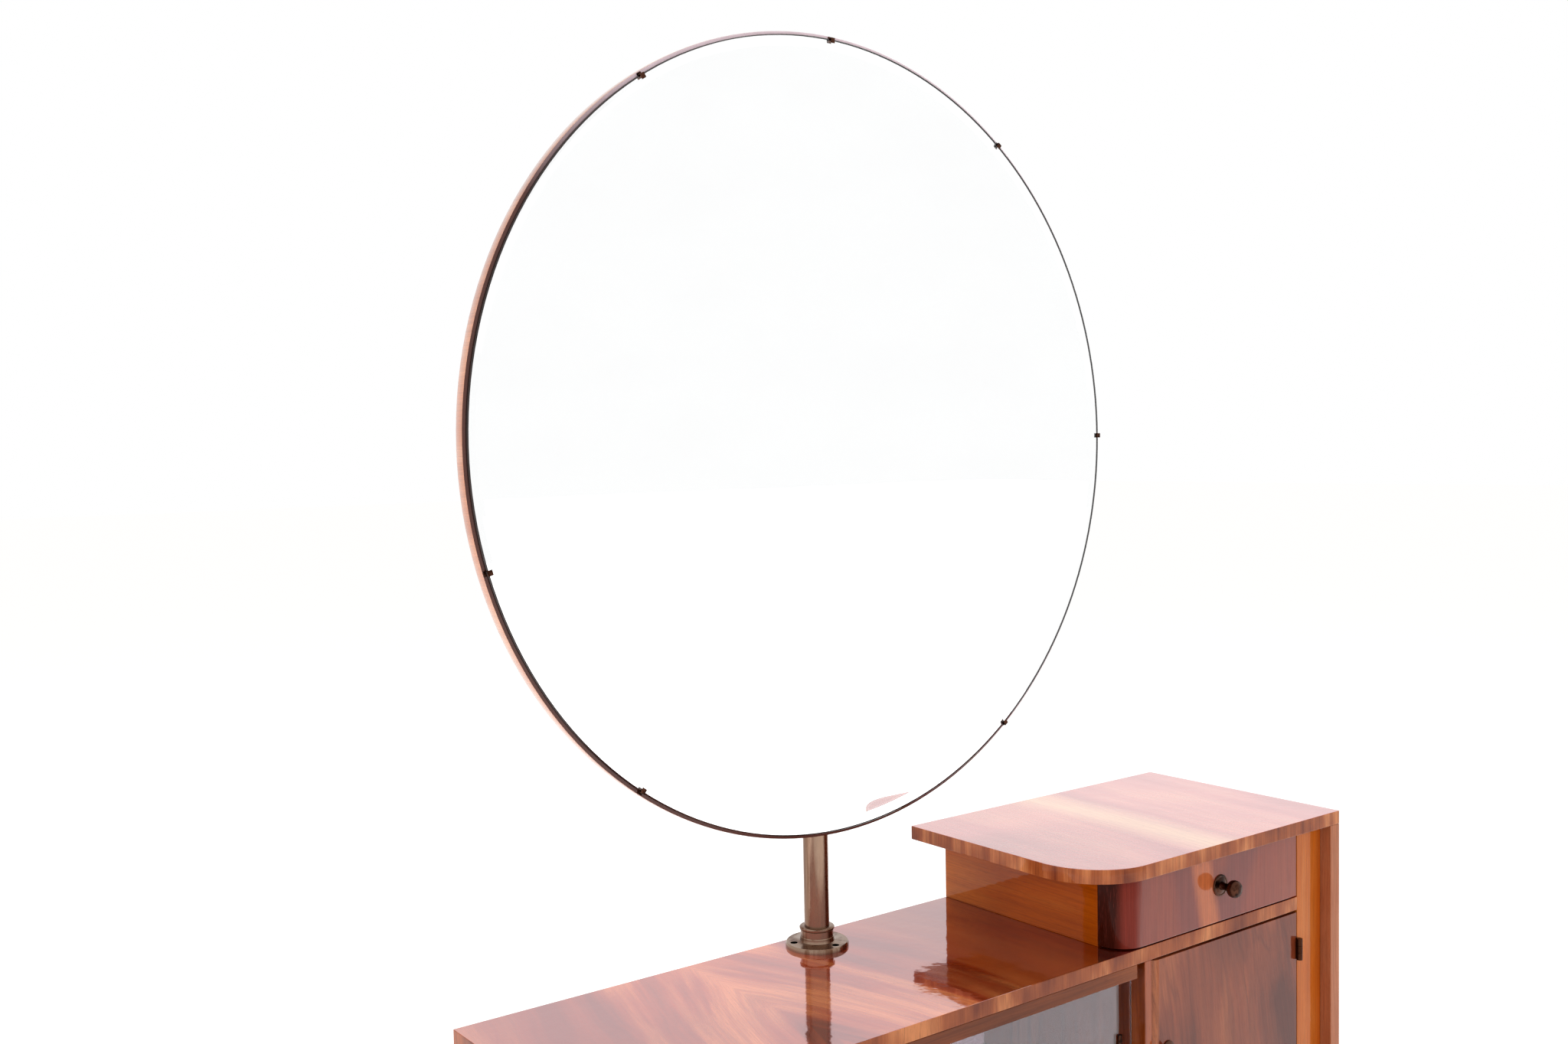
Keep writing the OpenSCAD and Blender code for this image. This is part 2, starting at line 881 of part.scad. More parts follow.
module door_key() {
    color(old_brass) {
        bar_y(key_x, [bow_y, key_end_y], key_z, key_d / 2);
        block([key_x - key_bit_w / 2, key_x + key_bit_w / 2],
              [key_bit_y, key_bit_y + key_bit_t], [key_z - key_bit_r, key_z]);
        difference() {
            translate([key_x, bow_y - bow_d / 2 + bow_lap, key_z])
                rotate([0, 90, 0])
                    translate([0, 0, -bow_t / 2])
                        cylinder(h = bow_t, d = bow_d);
            translate([key_x, bow_y - bow_d / 2 + bow_lap, key_z])
                rotate([0, 90, 0])
                    translate([0, 0, -bow_t])
                        cylinder(h = 2 * bow_t, d = bow_hole_d);
        }
    }
}

// Sliding panes

module pane(x, y) {
    color(glass)
        block([x, x + pane_w], [y - pane_t / 2, y + pane_t / 2], [pane_z0, pane_z1]);
}

// A finger grip on a pane's front face, with its outer side at x
module pane_grip(x, y) {
    color(old_brass)
        block([x, x + grip_w], [y - pane_t / 2 - grip_t, y - pane_t / 2],
              [grip_z, grip_z + grip_h]);
}

module left_pane() {
    pane(left_pane_x, rear_pane_y);
}

module left_pane_grip() {
    pane_grip(left_pane_x + grip_set, rear_pane_y);
}

module right_pane() {
    pane(right_pane_x, front_pane_y);
}

module right_pane_grip() {
    pane_grip(right_pane_x + pane_w - grip_set - grip_w, front_pane_y);
}

// Pole

function flange_screw_spots() =
    [for (a = [0, 120, 240])
        [axis_x + flange_screw_ring * cos(a + flange_screw_turn),
         axis_y + flange_screw_ring * sin(a + flange_screw_turn)]];

module pole_socket() {
    band_z = flange_t + collar_h * (1 - collar_band_h);
    color(metal)
        difference() {
            translate([axis_x, axis_y, low_z])
                rotate_extrude()
                    difference() {
                        union() {
                            square([flange_d / 2, flange_t - flange_edge]);
                            square([flange_d / 2 - flange_edge, flange_t]);
                            square([collar_d / 2, flange_t + collar_h * collar_low_h]);
                            square([collar_d / 2 - collar_step, band_z]);
                            translate([0, band_z])
                                square([collar_d / 2 + collar_band,
                                        collar_h * collar_band_h]);
                        }
                        translate([0, -cut])
                            square([rod_r + run_gap, flange_t + 2 * cut]);
                        translate([0, flange_t])
                            square([pole_d / 2 + run_gap, collar_h + cut]);
                    }
            for (spot = flange_screw_spots())
                flange_screw(spot, screw_gap);
        }
}

module flange_screw(spot, gap) {
    top = low_z + flange_t;
    bar_z(spot[0], spot[1], [top - flange_screw_len, top - gap],
          flange_screw_d / 2 + gap);
    bar_z(spot[0], spot[1], [top - flange_screw_head_t, top + (gap > 0 ? cut : 0)],
          flange_screw_head_d / 2 + gap);
}

module flange_screws() {
    color(old_brass)
        for (spot = flange_screw_spots())
            flange_screw(spot, 0);
}

module pole() {
    color(metal)
        difference() {
            bar_z(axis_x, axis_y, [post_z, head_z], pole_d / 2);
            bar_z(axis_x, axis_y, [post_z - cut, head_z + cut], pole_d / 2 - pole_wall);
        }
}

module tie_rod() {
    color(steel)
        bar_z(axis_x, axis_y, [under_low_z - washer_t - nut_h - rod_out, head_z + head_lap], rod_r);
}

module rod_nut() {
    z = under_low_z - rest_gap;
    color(steel)
        difference() {
            union() {
                bar_z(axis_x, axis_y, [z - washer_t, z], washer_d / 2);
                translate([axis_x, axis_y, z - washer_t - nut_h])
                    cylinder(h = nut_h, d = nut_d, $fn = 6);
            }
            bar_z(axis_x, axis_y, [z - washer_t - nut_h - cut, z + cut], rod_r);
        }
}

module pole_head() {
    color(metal)
        difference() {
            union() {
                bar_z(axis_x, axis_y, [head_z, head_z + head_t], pole_d / 2);
                bar_z(axis_x, axis_y, [head_z - plug_h, head_z], pole_d / 2 - pole_wall);
                block([axis_x - tongue_w / 2, axis_x + tongue_w / 2],
                      [tilt_y, axis_y + tongue_back], [head_z + head_t, tilt_z + tongue_top]);
                block([axis_x - tongue_w / 2, axis_x + tongue_w / 2],
                      [tilt_y - tongue_r, axis_y + tongue_back], [head_z + head_t, tilt_z]);
                bar_x([axis_x - tongue_w / 2, axis_x + tongue_w / 2], tilt_y, tilt_z,
                      tongue_r);
            }
            bar_x([axis_x - tongue_w, axis_x + tongue_w], tilt_y, tilt_z,
                  tilt_bolt_r + run_gap);
            bar_z(axis_x, axis_y, [head_z - plug_h - cut, head_z + head_lap], rod_r);
        }
}

// Mirror, whose parts turn on the tilt bolt

module mirror_board() {
    color(walnut)
        difference() {
            bar_y(axis_x, [disc_front_y, disc_back_y], tilt_z, mirror_r);
            plate_screw_set(screw_gap);
        }
}

module mirror_glass() {
    color(silvered)
        translate([axis_x, disc_front_y, tilt_z])
            rotate([90, 0, 0])
                rotate_extrude()
                    polygon([[0, 0], [glass_r, 0], [glass_r, glass_edge_t],
                             [glass_r - bevel_w, mirror_glass_t], [0, mirror_glass_t]]);
}

// One clip at the disc's right, hooked over the glass's edge
module clip() {
    foot_x = mirror_r - clip_rim;
    riser_x = glass_r + clip_gap;
    hook_y = disc_front_y - glass_edge_t - clip_gap - clip_rim;
    z = [-clip_w / 2, clip_w / 2];
    block([riser_x, foot_x], [disc_front_y - clip_t, disc_front_y], z);
    block([riser_x, riser_x + clip_t], [hook_y - clip_t, disc_front_y], z);
    block([glass_r - clip_hook, riser_x + clip_t], [hook_y - clip_t, hook_y], z);
}

module mirror_clips() {
    color(metal)
        translate([axis_x, 0, tilt_z])
            for (a = clip_angles)
                rotate([0, -a, 0])
                    clip();
}

module plate_screw_set(gap) {
    for (a = plate_screw_angles) {
        x = axis_x + plate_screw_ring * cos(a);
        z = tilt_z + plate_screw_ring * sin(a);
        bar_y(x, [plate_back_y - plate_screw_len, plate_back_y], z,
              plate_screw_d / 2 + gap);
    }
}

module mirror_plate() {
    color(steel)
        difference() {
            union() {
                bar_y(axis_x, [disc_back_y, plate_back_y], tilt_z, plate_r);
                for (x = [axis_x - tongue_w / 2 - ear_gap - ear_t,
                          axis_x + tongue_w / 2 + ear_gap]) {
                    bar_x([x, x + ear_t], tilt_y, tilt_z, tongue_r);
                    block([x, x + ear_t], [plate_back_y, tilt_y],
                          [tilt_z - tongue_r, tilt_z + tongue_r]);
                }
            }
            bar_x([axis_x - plate_r, axis_x + plate_r], tilt_y, tilt_z,
                  tilt_bolt_r + screw_gap);
            plate_screw_set(screw_gap);
        }
}

module plate_screws() {
    color(steel) {
        plate_screw_set(0);
        for (a = plate_screw_angles) {
            x = axis_x + plate_screw_ring * cos(a);
            z = tilt_z + plate_screw_ring * sin(a);
            bar_y(x, [plate_back_y, plate_back_y + plate_screw_head_t], z,
                  plate_screw_head_d / 2);
        }
    }
}

module tilt_bolt() {
    ear_out = tongue_w / 2 + ear_gap + ear_t;
    color(steel) {
        bar_x([axis_x - ear_out, axis_x + ear_out + tilt_bolt_out], tilt_y, tilt_z,
              tilt_bolt_r);
        bar_x([axis_x - ear_out - tilt_head_t, axis_x - ear_out], tilt_y, tilt_z,
              tilt_head_d / 2);
    }
}

module tilt_nut() {
    ear_out = tongue_w / 2 + ear_gap + ear_t;
    color(old_brass)
        difference() {
            bar_x([axis_x + ear_out, axis_x + ear_out + tilt_nut_t], tilt_y, tilt_z,
                  tilt_head_d / 2);
            bar_x([axis_x + ear_out - cut, axis_x + ear_out + tilt_nut_t + cut], tilt_y, tilt_z,
                  tilt_bolt_r);
        }
}

low_top();
upper_glass_track();
lower_glass_track();
left_side();
partition();
bottom_panel();
back_panel();
right_side();
front_stile();
upper_side();
pedestal_top();
upper_back_panel();
plinth_front();
plinth_back();
plinth_rail();
cupboard_shelf();
glass_shelf();
shelf_pins();
drawer_guide();
drawer_kickers();
drawer_stop();
door_stop();
hinge_stile_leaves();
hinge_pins();
hinge_stile_screws();
strike_plate();
pole_socket();
flange_screws();
drawer_front();
drawer_left_side();
drawer_right_side();
drawer_back();
drawer_bottom();
knob_rosette();
drawer_knob();
knob_screw();
door_panel();
hinge_door_leaves();
hinge_door_screws();
escutcheon();
lock_case();
lock_bolt();
door_key();
left_pane();
left_pane_grip();
right_pane();
right_pane_grip();
pole();
tie_rod();
rod_nut();
pole_head();
mirror_board();
mirror_glass();
mirror_clips();
mirror_plate();
plate_screws();
tilt_bolt();
tilt_nut();
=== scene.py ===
"""The looks of a walnut dressing table: a low glass-fronted cabinet, a pedestal with a
drawer and a cupboard, and a round mirror on a turning pole."""

import json
import logging
import math
from collections.abc import Callable, Sequence
from dataclasses import dataclass
from enum import Enum

import bmesh
import bpy
from mathutils import Matrix, Vector

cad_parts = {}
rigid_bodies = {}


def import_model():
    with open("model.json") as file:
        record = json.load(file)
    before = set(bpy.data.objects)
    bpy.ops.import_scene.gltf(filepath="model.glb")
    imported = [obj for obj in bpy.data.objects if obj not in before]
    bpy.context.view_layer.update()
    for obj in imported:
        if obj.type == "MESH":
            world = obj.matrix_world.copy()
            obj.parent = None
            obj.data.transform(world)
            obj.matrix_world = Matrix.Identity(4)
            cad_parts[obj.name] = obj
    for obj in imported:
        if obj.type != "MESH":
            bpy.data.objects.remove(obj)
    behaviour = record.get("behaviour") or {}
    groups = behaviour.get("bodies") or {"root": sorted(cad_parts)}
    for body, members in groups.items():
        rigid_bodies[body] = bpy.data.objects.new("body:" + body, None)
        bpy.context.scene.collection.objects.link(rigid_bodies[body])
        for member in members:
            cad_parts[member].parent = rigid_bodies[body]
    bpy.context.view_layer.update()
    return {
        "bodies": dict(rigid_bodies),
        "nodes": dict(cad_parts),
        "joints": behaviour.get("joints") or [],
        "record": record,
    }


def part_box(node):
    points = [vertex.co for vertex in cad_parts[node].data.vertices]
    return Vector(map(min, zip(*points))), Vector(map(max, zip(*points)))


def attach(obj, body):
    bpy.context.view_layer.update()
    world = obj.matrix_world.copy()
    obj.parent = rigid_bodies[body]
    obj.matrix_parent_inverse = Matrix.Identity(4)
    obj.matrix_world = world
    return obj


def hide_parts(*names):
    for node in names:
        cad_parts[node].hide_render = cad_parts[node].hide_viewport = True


LOG = logging.getLogger("dressing_table")
MM = 0.001
# Distance within which an edge lies on a side of its piece's box
NEAR = 0.5 * MM
# Part of a unit normal from which a face looks that way
FACING = 0.9
# Smallest angle between faces whose edge is softened, in degrees
SHARP = 30.0
# Angle below which edges of metal are shaded smooth, in degrees
ROUND = 35.0
# Part of a unit normal up to which a face isn't turned that way
TURNED = 0.3
# Upright part of an edge's direction below which the edge is level
LEVEL = 0.5
# The way in which a lathe counts its radii
ACROSS = Vector((1, 0, 0))

Triple = tuple[float, float, float]
Screen = tuple[int, int, int]
# The darkest, the usual and the lightest colour of a wood
Tones = tuple[Screen, Screen, Screen]
Socket = bpy.types.NodeSocket
Material = bpy.types.Material
Test = Callable[[Vector, Vector], bool]
Choice = Callable[[Vector, Vector], int]
Way = Callable[[Vector], float]


def linear(colour: Screen) -> Triple:
    """Turns a colour as a screen shows it into the linear colour that shaders take.

    Args:
        colour: Red, green and blue, 0 to 255.

    Returns:
        The linear red, green and blue.
    """
    red, green, blue = (
        p / 12.92 if p <= 0.04045 else ((p + 0.055) / 1.055) ** 2.4
        for p in (value / 255 for value in colour)
    )
    return (red, green, blue)


class Grain(Enum):
    """The way in which the wood's fibres run on a piece."""

    LENGTH = "along the table"
    DEPTH = "from front to back"
    HEIGHT = "upright"
    RIM = "upright, round an edge"


class Tree:
    """The node tree of a material or world, with short ways to add and join nodes."""

    def __init__(self, owner: Material | bpy.types.World) -> None:
        """Empties the owner's tree.

        Args:
            owner: The material or world.
        """
        self.owner = owner
        owner.use_nodes = True
        self.nodes = owner.node_tree.nodes
        self.links = owner.node_tree.links
        self.nodes.clear()

    @classmethod
    def of_material(cls, name: str) -> "Tree":
        """Returns the tree of a new material with this name."""
        return cls(bpy.data.materials.new(name))

    def add(self, kind: str, inputs: dict | None = None, **settings: object) -> bpy.types.Node:
        """Adds one node.

        Args:
            kind: The node's type name without its ShaderNode prefix.
            inputs: Socket names or numbers, each with a value or an output to join.
            settings: Properties of the node itself.

        Returns:
            The new node.
        """
        node = self.nodes.new(f"ShaderNode{kind}")
        for key, value in settings.items():
            setattr(node, key, value)
        for key, value in (inputs or {}).items():
            if isinstance(value, Socket):
                self.links.new(value, node.inputs[key])
            elif isinstance(value, tuple) and node.inputs[key].type == "RGBA":
                node.inputs[key].default_value = (*value, 1.0)
            else:
                node.inputs[key].default_value = value
        return node

    def here(self) -> Socket:
        """Returns the shaded point in the piece's own coordinates."""
        return self.add("TexCoord").outputs["Object"]

    def math(self, operation: str, first: object, second: object) -> Socket:
        """Joins two numbers by one operation and returns the result's socket."""
        return self.add("Math", {0: first, 1: second}, operation=operation).outputs[0]

    def apart(self, first: Socket, second: float) -> Socket:
        """Returns how far two numbers are apart."""
        return self.math("ABSOLUTE", self.math("SUBTRACT", first, second), 0.0)

    def weighted(self, first: Socket, share: float, second: Socket, rest: float) -> Socket:
        """Returns the sum of two numbers, each times its own weight."""
        return self.math(
            "ADD", self.math("MULTIPLY", first, share), self.math("MULTIPLY", second, rest)
        )

    def pushed(self, point: Socket, push: Socket, amount: float) -> Socket:
        """Returns the point moved by a share of the push."""
        values = {0: push, 1: (amount, amount, amount), 2: point}
        return self.add("VectorMath", values, operation="MULTIPLY_ADD").outputs[0]

    def noise(self, point: Socket, scale: float, detail: float = 2.0,
              rough: float = 0.5) -> Socket:
        """Returns noise of so many waves per metre, with finer layers of some weight."""
        values = {"Vector": point, "Scale": scale, "Detail": detail, "Roughness": rough}
        return self.add("TexNoise", values).outputs["Fac"]

    def stretched(self, point: Socket, scale: Triple) -> Socket:
        """Returns the point with each axis scaled by its own number."""
        return self.add("Mapping", {"Vector": point, "Scale": scale}).outputs[0]

    def grained(self, point: Socket, along: float, across: float, detail: float = 2.0,
                rough: float = 0.5) -> Socket:
        """Returns noise of so many waves per metre along the fibres and across them."""
        return self.noise(self.stretched(point, (along, across, across)), 1.0, detail, rough)

    def ramp(self, value: Socket, stops: Sequence[tuple[float, Triple]]) -> Socket:
        """Adds a colour ramp.

        Args:
            value: The number that picks the colour.
            stops: Places from 0 to 1, each with its colour.

        Returns:
            The colour's socket.
        """
        node = self.add("ValToRGB", {"Fac": value})
        elements = node.color_ramp.elements
        elements[0].position, elements[1].position = stops[0][0], stops[-1][0]
        for place, _ in stops[1:-1]:
            elements.new(place)
        for element, (_, colour) in zip(elements, stops):
            element.color = (*colour, 1.0)
        return node.outputs[0]

    def mix(self, share: object, first: object, second: object, blend: str = "MIX") -> Socket:
        """Returns the first colour with a share of the second one mixed in."""
        values = {0: share, 6: first, 7: second}
        return self.add("Mix", values, data_type="RGBA", blend_type=blend).outputs[2]

    def span(self, value: Socket, low: float, high: float, to_low: float,
             to_high: float) -> Socket:
        """Maps a number from one span to another and keeps it inside."""
        values = {0: value, 1: low, 2: high, 3: to_low, 4: to_high}
        return self.add("MapRange", values).outputs[0]

    def bump(self, height: Socket, strength: float, distance: float) -> Socket:
        """Returns the normal of a surface with this height over it, in metres."""
        values = {"Height": height, "Strength": strength, "Distance": distance}
        return self.add("Bump", values).outputs[0]

    def sight(self) -> tuple[Socket, Socket]:
        """Returns whether a ray comes from the camera or a gloss, and whether from glass."""
        path = self.add("LightPath").outputs
        return (self.math("ADD", path["Is Camera Ray"], path["Is Glossy Ray"]),
                path["Is Transmission Ray"])

    def shade(self, inputs: dict) -> Material:
        """Ends the tree in one main shader.

        Args:
            inputs: The shader's sockets, each with a value or an output to join.

        Returns:
            The finished material.
        """
        shader = self.add("BsdfPrincipled", inputs)
        self.add("OutputMaterial", {"Surface": shader.outputs[0]})
        return self.owner


WALNUT = ((98, 36, 12), (160, 72, 26), (200, 108, 50))
BAND = ((118, 50, 24), (170, 88, 44), (220, 138, 84))
DULL = ((80, 34, 12), (132, 64, 26), (170, 94, 46))


@dataclass(frozen=True)
class Stripe:
    """A band of another colour that runs along the grain."""

    middle: float
    half: float
    soft: float
    colour: Screen
    weight: float = 1.0
    lean: float = 0.0
    start: float = 0.0

    def lay(self, tree: Tree, point: Socket, along: int, wood: Socket) -> Socket:
        """Lays the band over the wood.

        Args:
            tree: The material's tree.
            point: The point on the piece, shaken for a wavy edge.
            along: Number of the axis along which the band runs.
            wood: The wood's colour so far.

        Returns:
            The colour with the band in it.
        """
        parts = tree.add("SeparateXYZ", {0: point}).outputs
        way = tree.math("SUBTRACT", parts[along], self.start)
        line = tree.math("SUBTRACT", parts[0], tree.math("MULTIPLY", way, self.lean))
        away = tree.apart(line, self.middle)
        inside = tree.span(
            away, self.half - self.soft, self.half + self.soft, self.weight, 0.0
        )
        return tree.mix(inside, wood, linear(self.colour))


@dataclass(frozen=True)
class Fold:
    """The line at which two matched leaves of veneer mirror each other."""

    place: float
    slope: float
    reach: float

    def mirror(self, tree: Tree, point: Socket) -> Socket:
        """Mirrors the figure at the fold and leans it away from there.

        Args:
            tree: The material's tree.
            point: The point on the board.

        Returns:
            The point in the leaf of veneer.
        """
        parts = tree.add("SeparateXYZ", {0: point}).outputs
        away = tree.apart(parts[0], self.place)
        lean = tree.span(away, 0.0, self.reach, -self.slope, 0.0)
        across = tree.math("ADD", away, tree.math("MULTIPLY", parts[1], lean))
        return tree.add("CombineXYZ", {0: across, 1: parts[1], 2: parts[2]}).outputs[0]


@dataclass(frozen=True)
class Film:
    """The warm shine that polished wood under varnish gives at a flat angle."""

    ior: float
    tint: Triple
    facing: float = 0.08
    grazing: float = 0.5

    def sockets(self, tree: Tree) -> dict:
        """Returns the main shader's sockets, each with its value."""
        flat = tree.add("LayerWeight", {"Blend": 0.5}).outputs["Facing"]
        return {
            "IOR": self.ior,
            "Roughness": 0.07,
            "Specular Tint": self.tint,
            "Specular IOR Level": tree.span(flat, 0.3, 0.62, self.facing, self.grazing),
        }


@dataclass(frozen=True)
class Veneer:
    """Walnut veneer under varnish: clouds of figure, streaks, veins, fibres and pores."""

    name: str
    grain: Grain = Grain.LENGTH
    tones: Tones = WALNUT
    streak: float = 30.0
    length: float = 1.4
    cloud: float = 5.0
    cloud_weight: float = 0.45
    vein: float = 0.3
    contrast: float = 0.24
    wave: float = 0.03
    turn: float = 0.0
    fold: Fold | None = None
    shift: Triple = (0.0, 0.0, 0.0)
    gloss_ior: float = 1.42
    base_ior: float = 1.12
    gloss: float = 1.0
    rough: float = 0.24
    film: Film | None = None
    dull_until: float | None = None
    dull_gloss: float = 0.15
    stripes: tuple[Stripe, ...] = ()

    def place(self, tree: Tree) -> Socket:
        """Returns the point on the wood with X along its fibres."""
        if self.grain is Grain.RIM:
            point = tree.add("UVMap", uv_map="rim").outputs[0]
        else:
            point = tree.here()
        if self.fold is not None:
            point = self.fold.mirror(tree, point)
        if self.grain is Grain.HEIGHT:
            turns = (0.0, 90.0 + self.turn, 0.0)
        else:
            turns = (0.0, 0.0, self.turn - (0.0 if self.grain is Grain.LENGTH else 90.0))
        radians = tuple(math.radians(turn) for turn in turns)
        turned = {"Vector": point, "Rotation": radians, "Location": self.shift}
        return tree.add("Mapping", turned).outputs[0]

    def make(self) -> Material:
        """Builds the veneer's material."""
        tree = Tree.of_material(self.name)
        point = self.place(tree)
        noise = tree.add("TexNoise", {"Vector": point, "Scale": 3.2, "Detail": 2.0})
        push = tree.add(
            "VectorMath", {0: noise.outputs["Color"], 1: (0.5, 0.5, 0.5)}, operation="SUBTRACT"
        ).outputs[0]
        wavy = tree.pushed(point, push, self.wave)
        streaks = tree.grained(wavy, self.length, self.streak, 4.0, 0.6)
        broad = tree.grained(wavy, self.length, self.streak / 4)
        clouds = tree.grained(wavy, self.cloud * 0.6, self.cloud)
        rings = tree.grained(wavy, self.length * 0.8, self.streak * 0.7, 3.0, 0.55)
        fibres = tree.grained(point, 14.0, 620.0)
        pores = tree.grained(point, 70.0, 1500.0, 1.0)
        cloudy = tree.math("MULTIPLY", tree.math("SUBTRACT", clouds, 0.5),
                           self.cloud_weight * 2)
        tone = tree.span(
            tree.math("ADD", tree.weighted(streaks, 0.62, broad, 0.38), cloudy),
            0.5 - self.contrast, 0.5 + self.contrast, 0.0, 1.0,
        )
        dark, middle, light = (linear(colour) for colour in self.tones)
        wood = tree.ramp(tone, [(0.0, dark), (0.5, middle), (1.0, light)])
        for stripe in self.stripes:
            shaken = tree.pushed(tree.here(), push, self.wave * 0.5)
            wood = stripe.lay(tree, shaken, 2 if self.grain is Grain.HEIGHT else 1, wood)
        near = tree.apart(rings, 0.5)
        wood = tree.mix(tree.span(near, 0.0, 0.03, self.vein, 0.0), wood, dark)
        shade = tree.span(fibres, 0.3, 0.7, 0.86, 1.12)
        grey = tree.add("CombineColor", {0: shade, 1: shade, 2: shade}).outputs[0]
        wood = tree.mix(1.0, wood, grey, "MULTIPLY")
        wood = tree.mix(tree.span(pores, 0.6, 0.68, 0.0, 0.35), wood, dark)
        height = tree.weighted(tree.noise(point, 42.0), 0.9, fibres, 0.03)
        normal = tree.bump(height, 0.4, 0.6 * MM)
        values = {
            "Base Color": wood,
            "Roughness": tree.span(streaks, 0.2, 0.8, self.rough + 0.05, self.rough - 0.04),
            "IOR": self.base_ior,
            "Normal": normal,
            "Coat Weight": self.gloss,
            "Coat Roughness": 0.025,
            "Coat IOR": self.gloss_ior,
            "Coat Normal": normal,
        }
        if self.film is not None:
            values |= self.film.sockets(tree)
        if self.dull_until is not None:
            sideways = tree.add("SeparateXYZ", {0: tree.here()}).outputs[0]
            values["Coat Weight"] = tree.span(
                sideways, self.dull_until - 0.01, self.dull_until, self.dull_gloss, self.gloss
            )
        return tree.shade(values)


@dataclass(frozen=True)
class Timber:
    """Plain oiled wood or ply of the hidden parts."""

    name: str
    grain: Grain = Grain.LENGTH
    dark: Screen = (150, 104, 62)
    light: Screen = (206, 164, 112)
    rough: float = 0.55

    def make(self) -> Material:
        """Builds the wood's material."""
        tree = Tree.of_material(self.name)
        point = Veneer(self.name, self.grain).place(tree)
        streaks = tree.grained(point, 2.0, 55.0, 4.0, 0.6)
        fibres = tree.grained(point, 18.0, 700.0)
        tone = tree.weighted(streaks, 0.7, fibres, 0.3)
        return tree.shade({
            "Base Color": tree.ramp(tone, [(0.3, linear(self.dark)), (0.7, linear(self.light))]),
            "Roughness": tree.span(fibres, 0.2, 0.8, self.rough - 0.08, self.rough + 0.12),
            "Normal": tree.bump(fibres, 0.3, 0.4 * MM),
        })


@dataclass(frozen=True)
class RingStainAndSheen:
    """The stained ring round the mirror: a dark stain at the lower left, turning towards a
    painted pale sheen opposite.
    """

    name: str
    dark: Screen = (84, 38, 26)
    # Colour of the painted sheen towards the upper right
    pale: Screen = (238, 214, 222)
    turn: float = 41.0
    dark_until: float = 0.534248
    pale_from: float = 0.744248

    def make(self) -> Material:
        """Builds the ring's material."""
        tree = Tree.of_material(self.name)
        point = tree.here()
        dark = linear(self.dark)
        turned = {"Vector": point, "Rotation": (0.0, math.radians(self.turn), 0.0)}
        slope = tree.add("SeparateXYZ", {0: tree.add("Mapping", turned).outputs[0]}).outputs[0]
        fibres = tree.noise(tree.stretched(point, (60.0, 200.0, 60.0)), 1.0, 3.0)
        # Painted reflection: by place, the ring pales from its dark stain towards the upper
        # right, standing in for the shine of its varnish
        sheen_share = tree.span(slope, self.dark_until, self.pale_from, 0.0, 1.0)
        wood = tree.mix(sheen_share, dark, linear(self.pale))
        return tree.shade({
            "Base Color": tree.mix(tree.span(fibres, 0.35, 0.7, 0.0, 0.12), wood, dark),
            "Roughness": tree.span(fibres, 0.2, 0.8, 0.2, 0.3),
            "Normal": tree.bump(fibres, 0.2, 0.3 * MM),
        })


@dataclass(frozen=True)
class Metal:
    """Plated, polished or aged metal with tarnish and fine rub marks."""

    name: str
    bright: Screen
    tarnish: Screen
    rough: float
    patch: float
    stretch: Triple = (1.0, 1.0, 1.0)

    def make(self) -> Material:
        """Builds the metal's material."""
        tree = Tree.of_material(self.name)
        point = tree.stretched(tree.here(), self.stretch)
        patches = tree.noise(point, self.patch, 4.0, 0.6)
        rubs = tree.noise(tree.stretched(point, (1.0, 1.0, 8.0)), self.patch * 9)
        share = tree.span(patches, 0.47, 0.63, 0.0, 1.0)
        rough = tree.span(rubs, 0.3, 0.7, self.rough * 0.8, self.rough * 1.3)
        return tree.shade({
            "Base Color": tree.mix(share, linear(self.bright), linear(self.tarnish)),
            "Metallic": 1.0,
            "Roughness": tree.math("ADD", tree.math("MULTIPLY", share, 0.12), rough),
            "Normal": tree.bump(rubs, 0.12, 0.2 * MM),
        })


@dataclass(frozen=True)
class Glass:
    """Clear glass with a light tint."""

    name: str
    tint: Screen
    ior: float

    def make(self) -> Material:
        """Builds the glass's material."""
        tree = Tree.of_material(self.name)
        point = tree.here()
        smears = tree.noise(tree.stretched(point, (6.0, 6.0, 14.0)), 1.0, 3.0)
        clean = linear(self.tint)
        smeared = tuple(0.96 * part for part in clean)
        return tree.shade({
            "Base Color": tree.mix(tree.span(smears, 0.35, 0.7, 0.0, 0.35), clean, smeared),
            "Roughness": 0.0,
            "IOR": self.ior,
            "Transmission Weight": 1.0,
            "Normal": tree.bump(tree.noise(point, 4.0, 1.0), 0.1, 0.2 * MM),
        })


@dataclass(frozen=True)
class Silvering:
    """A mirror's silver layer, seen through its glass."""

    name: str
    clean: Triple = (0.995, 1.0, 1.0)
    hazed: Triple = (0.99, 0.995, 0.995)

    def make(self) -> Material:
        """Builds the mirror's material."""
        tree = Tree.of_material(self.name)
        point = tree.here()
        haze = tree.noise(point, 12.0, 3.0)
        share = tree.span(haze, 0.4, 0.7, 0.0, 0.5)
        return tree.shade({
            "Base Color": tree.mix(share, self.clean, self.hazed),
            "Metallic": 1.0,
            "Roughness": tree.span(haze, 0.4, 0.8, 0.0, 0.015),
            "Normal": tree.bump(tree.noise(point, 2.5, 1.0), 0.1, 0.4 * MM),
        })


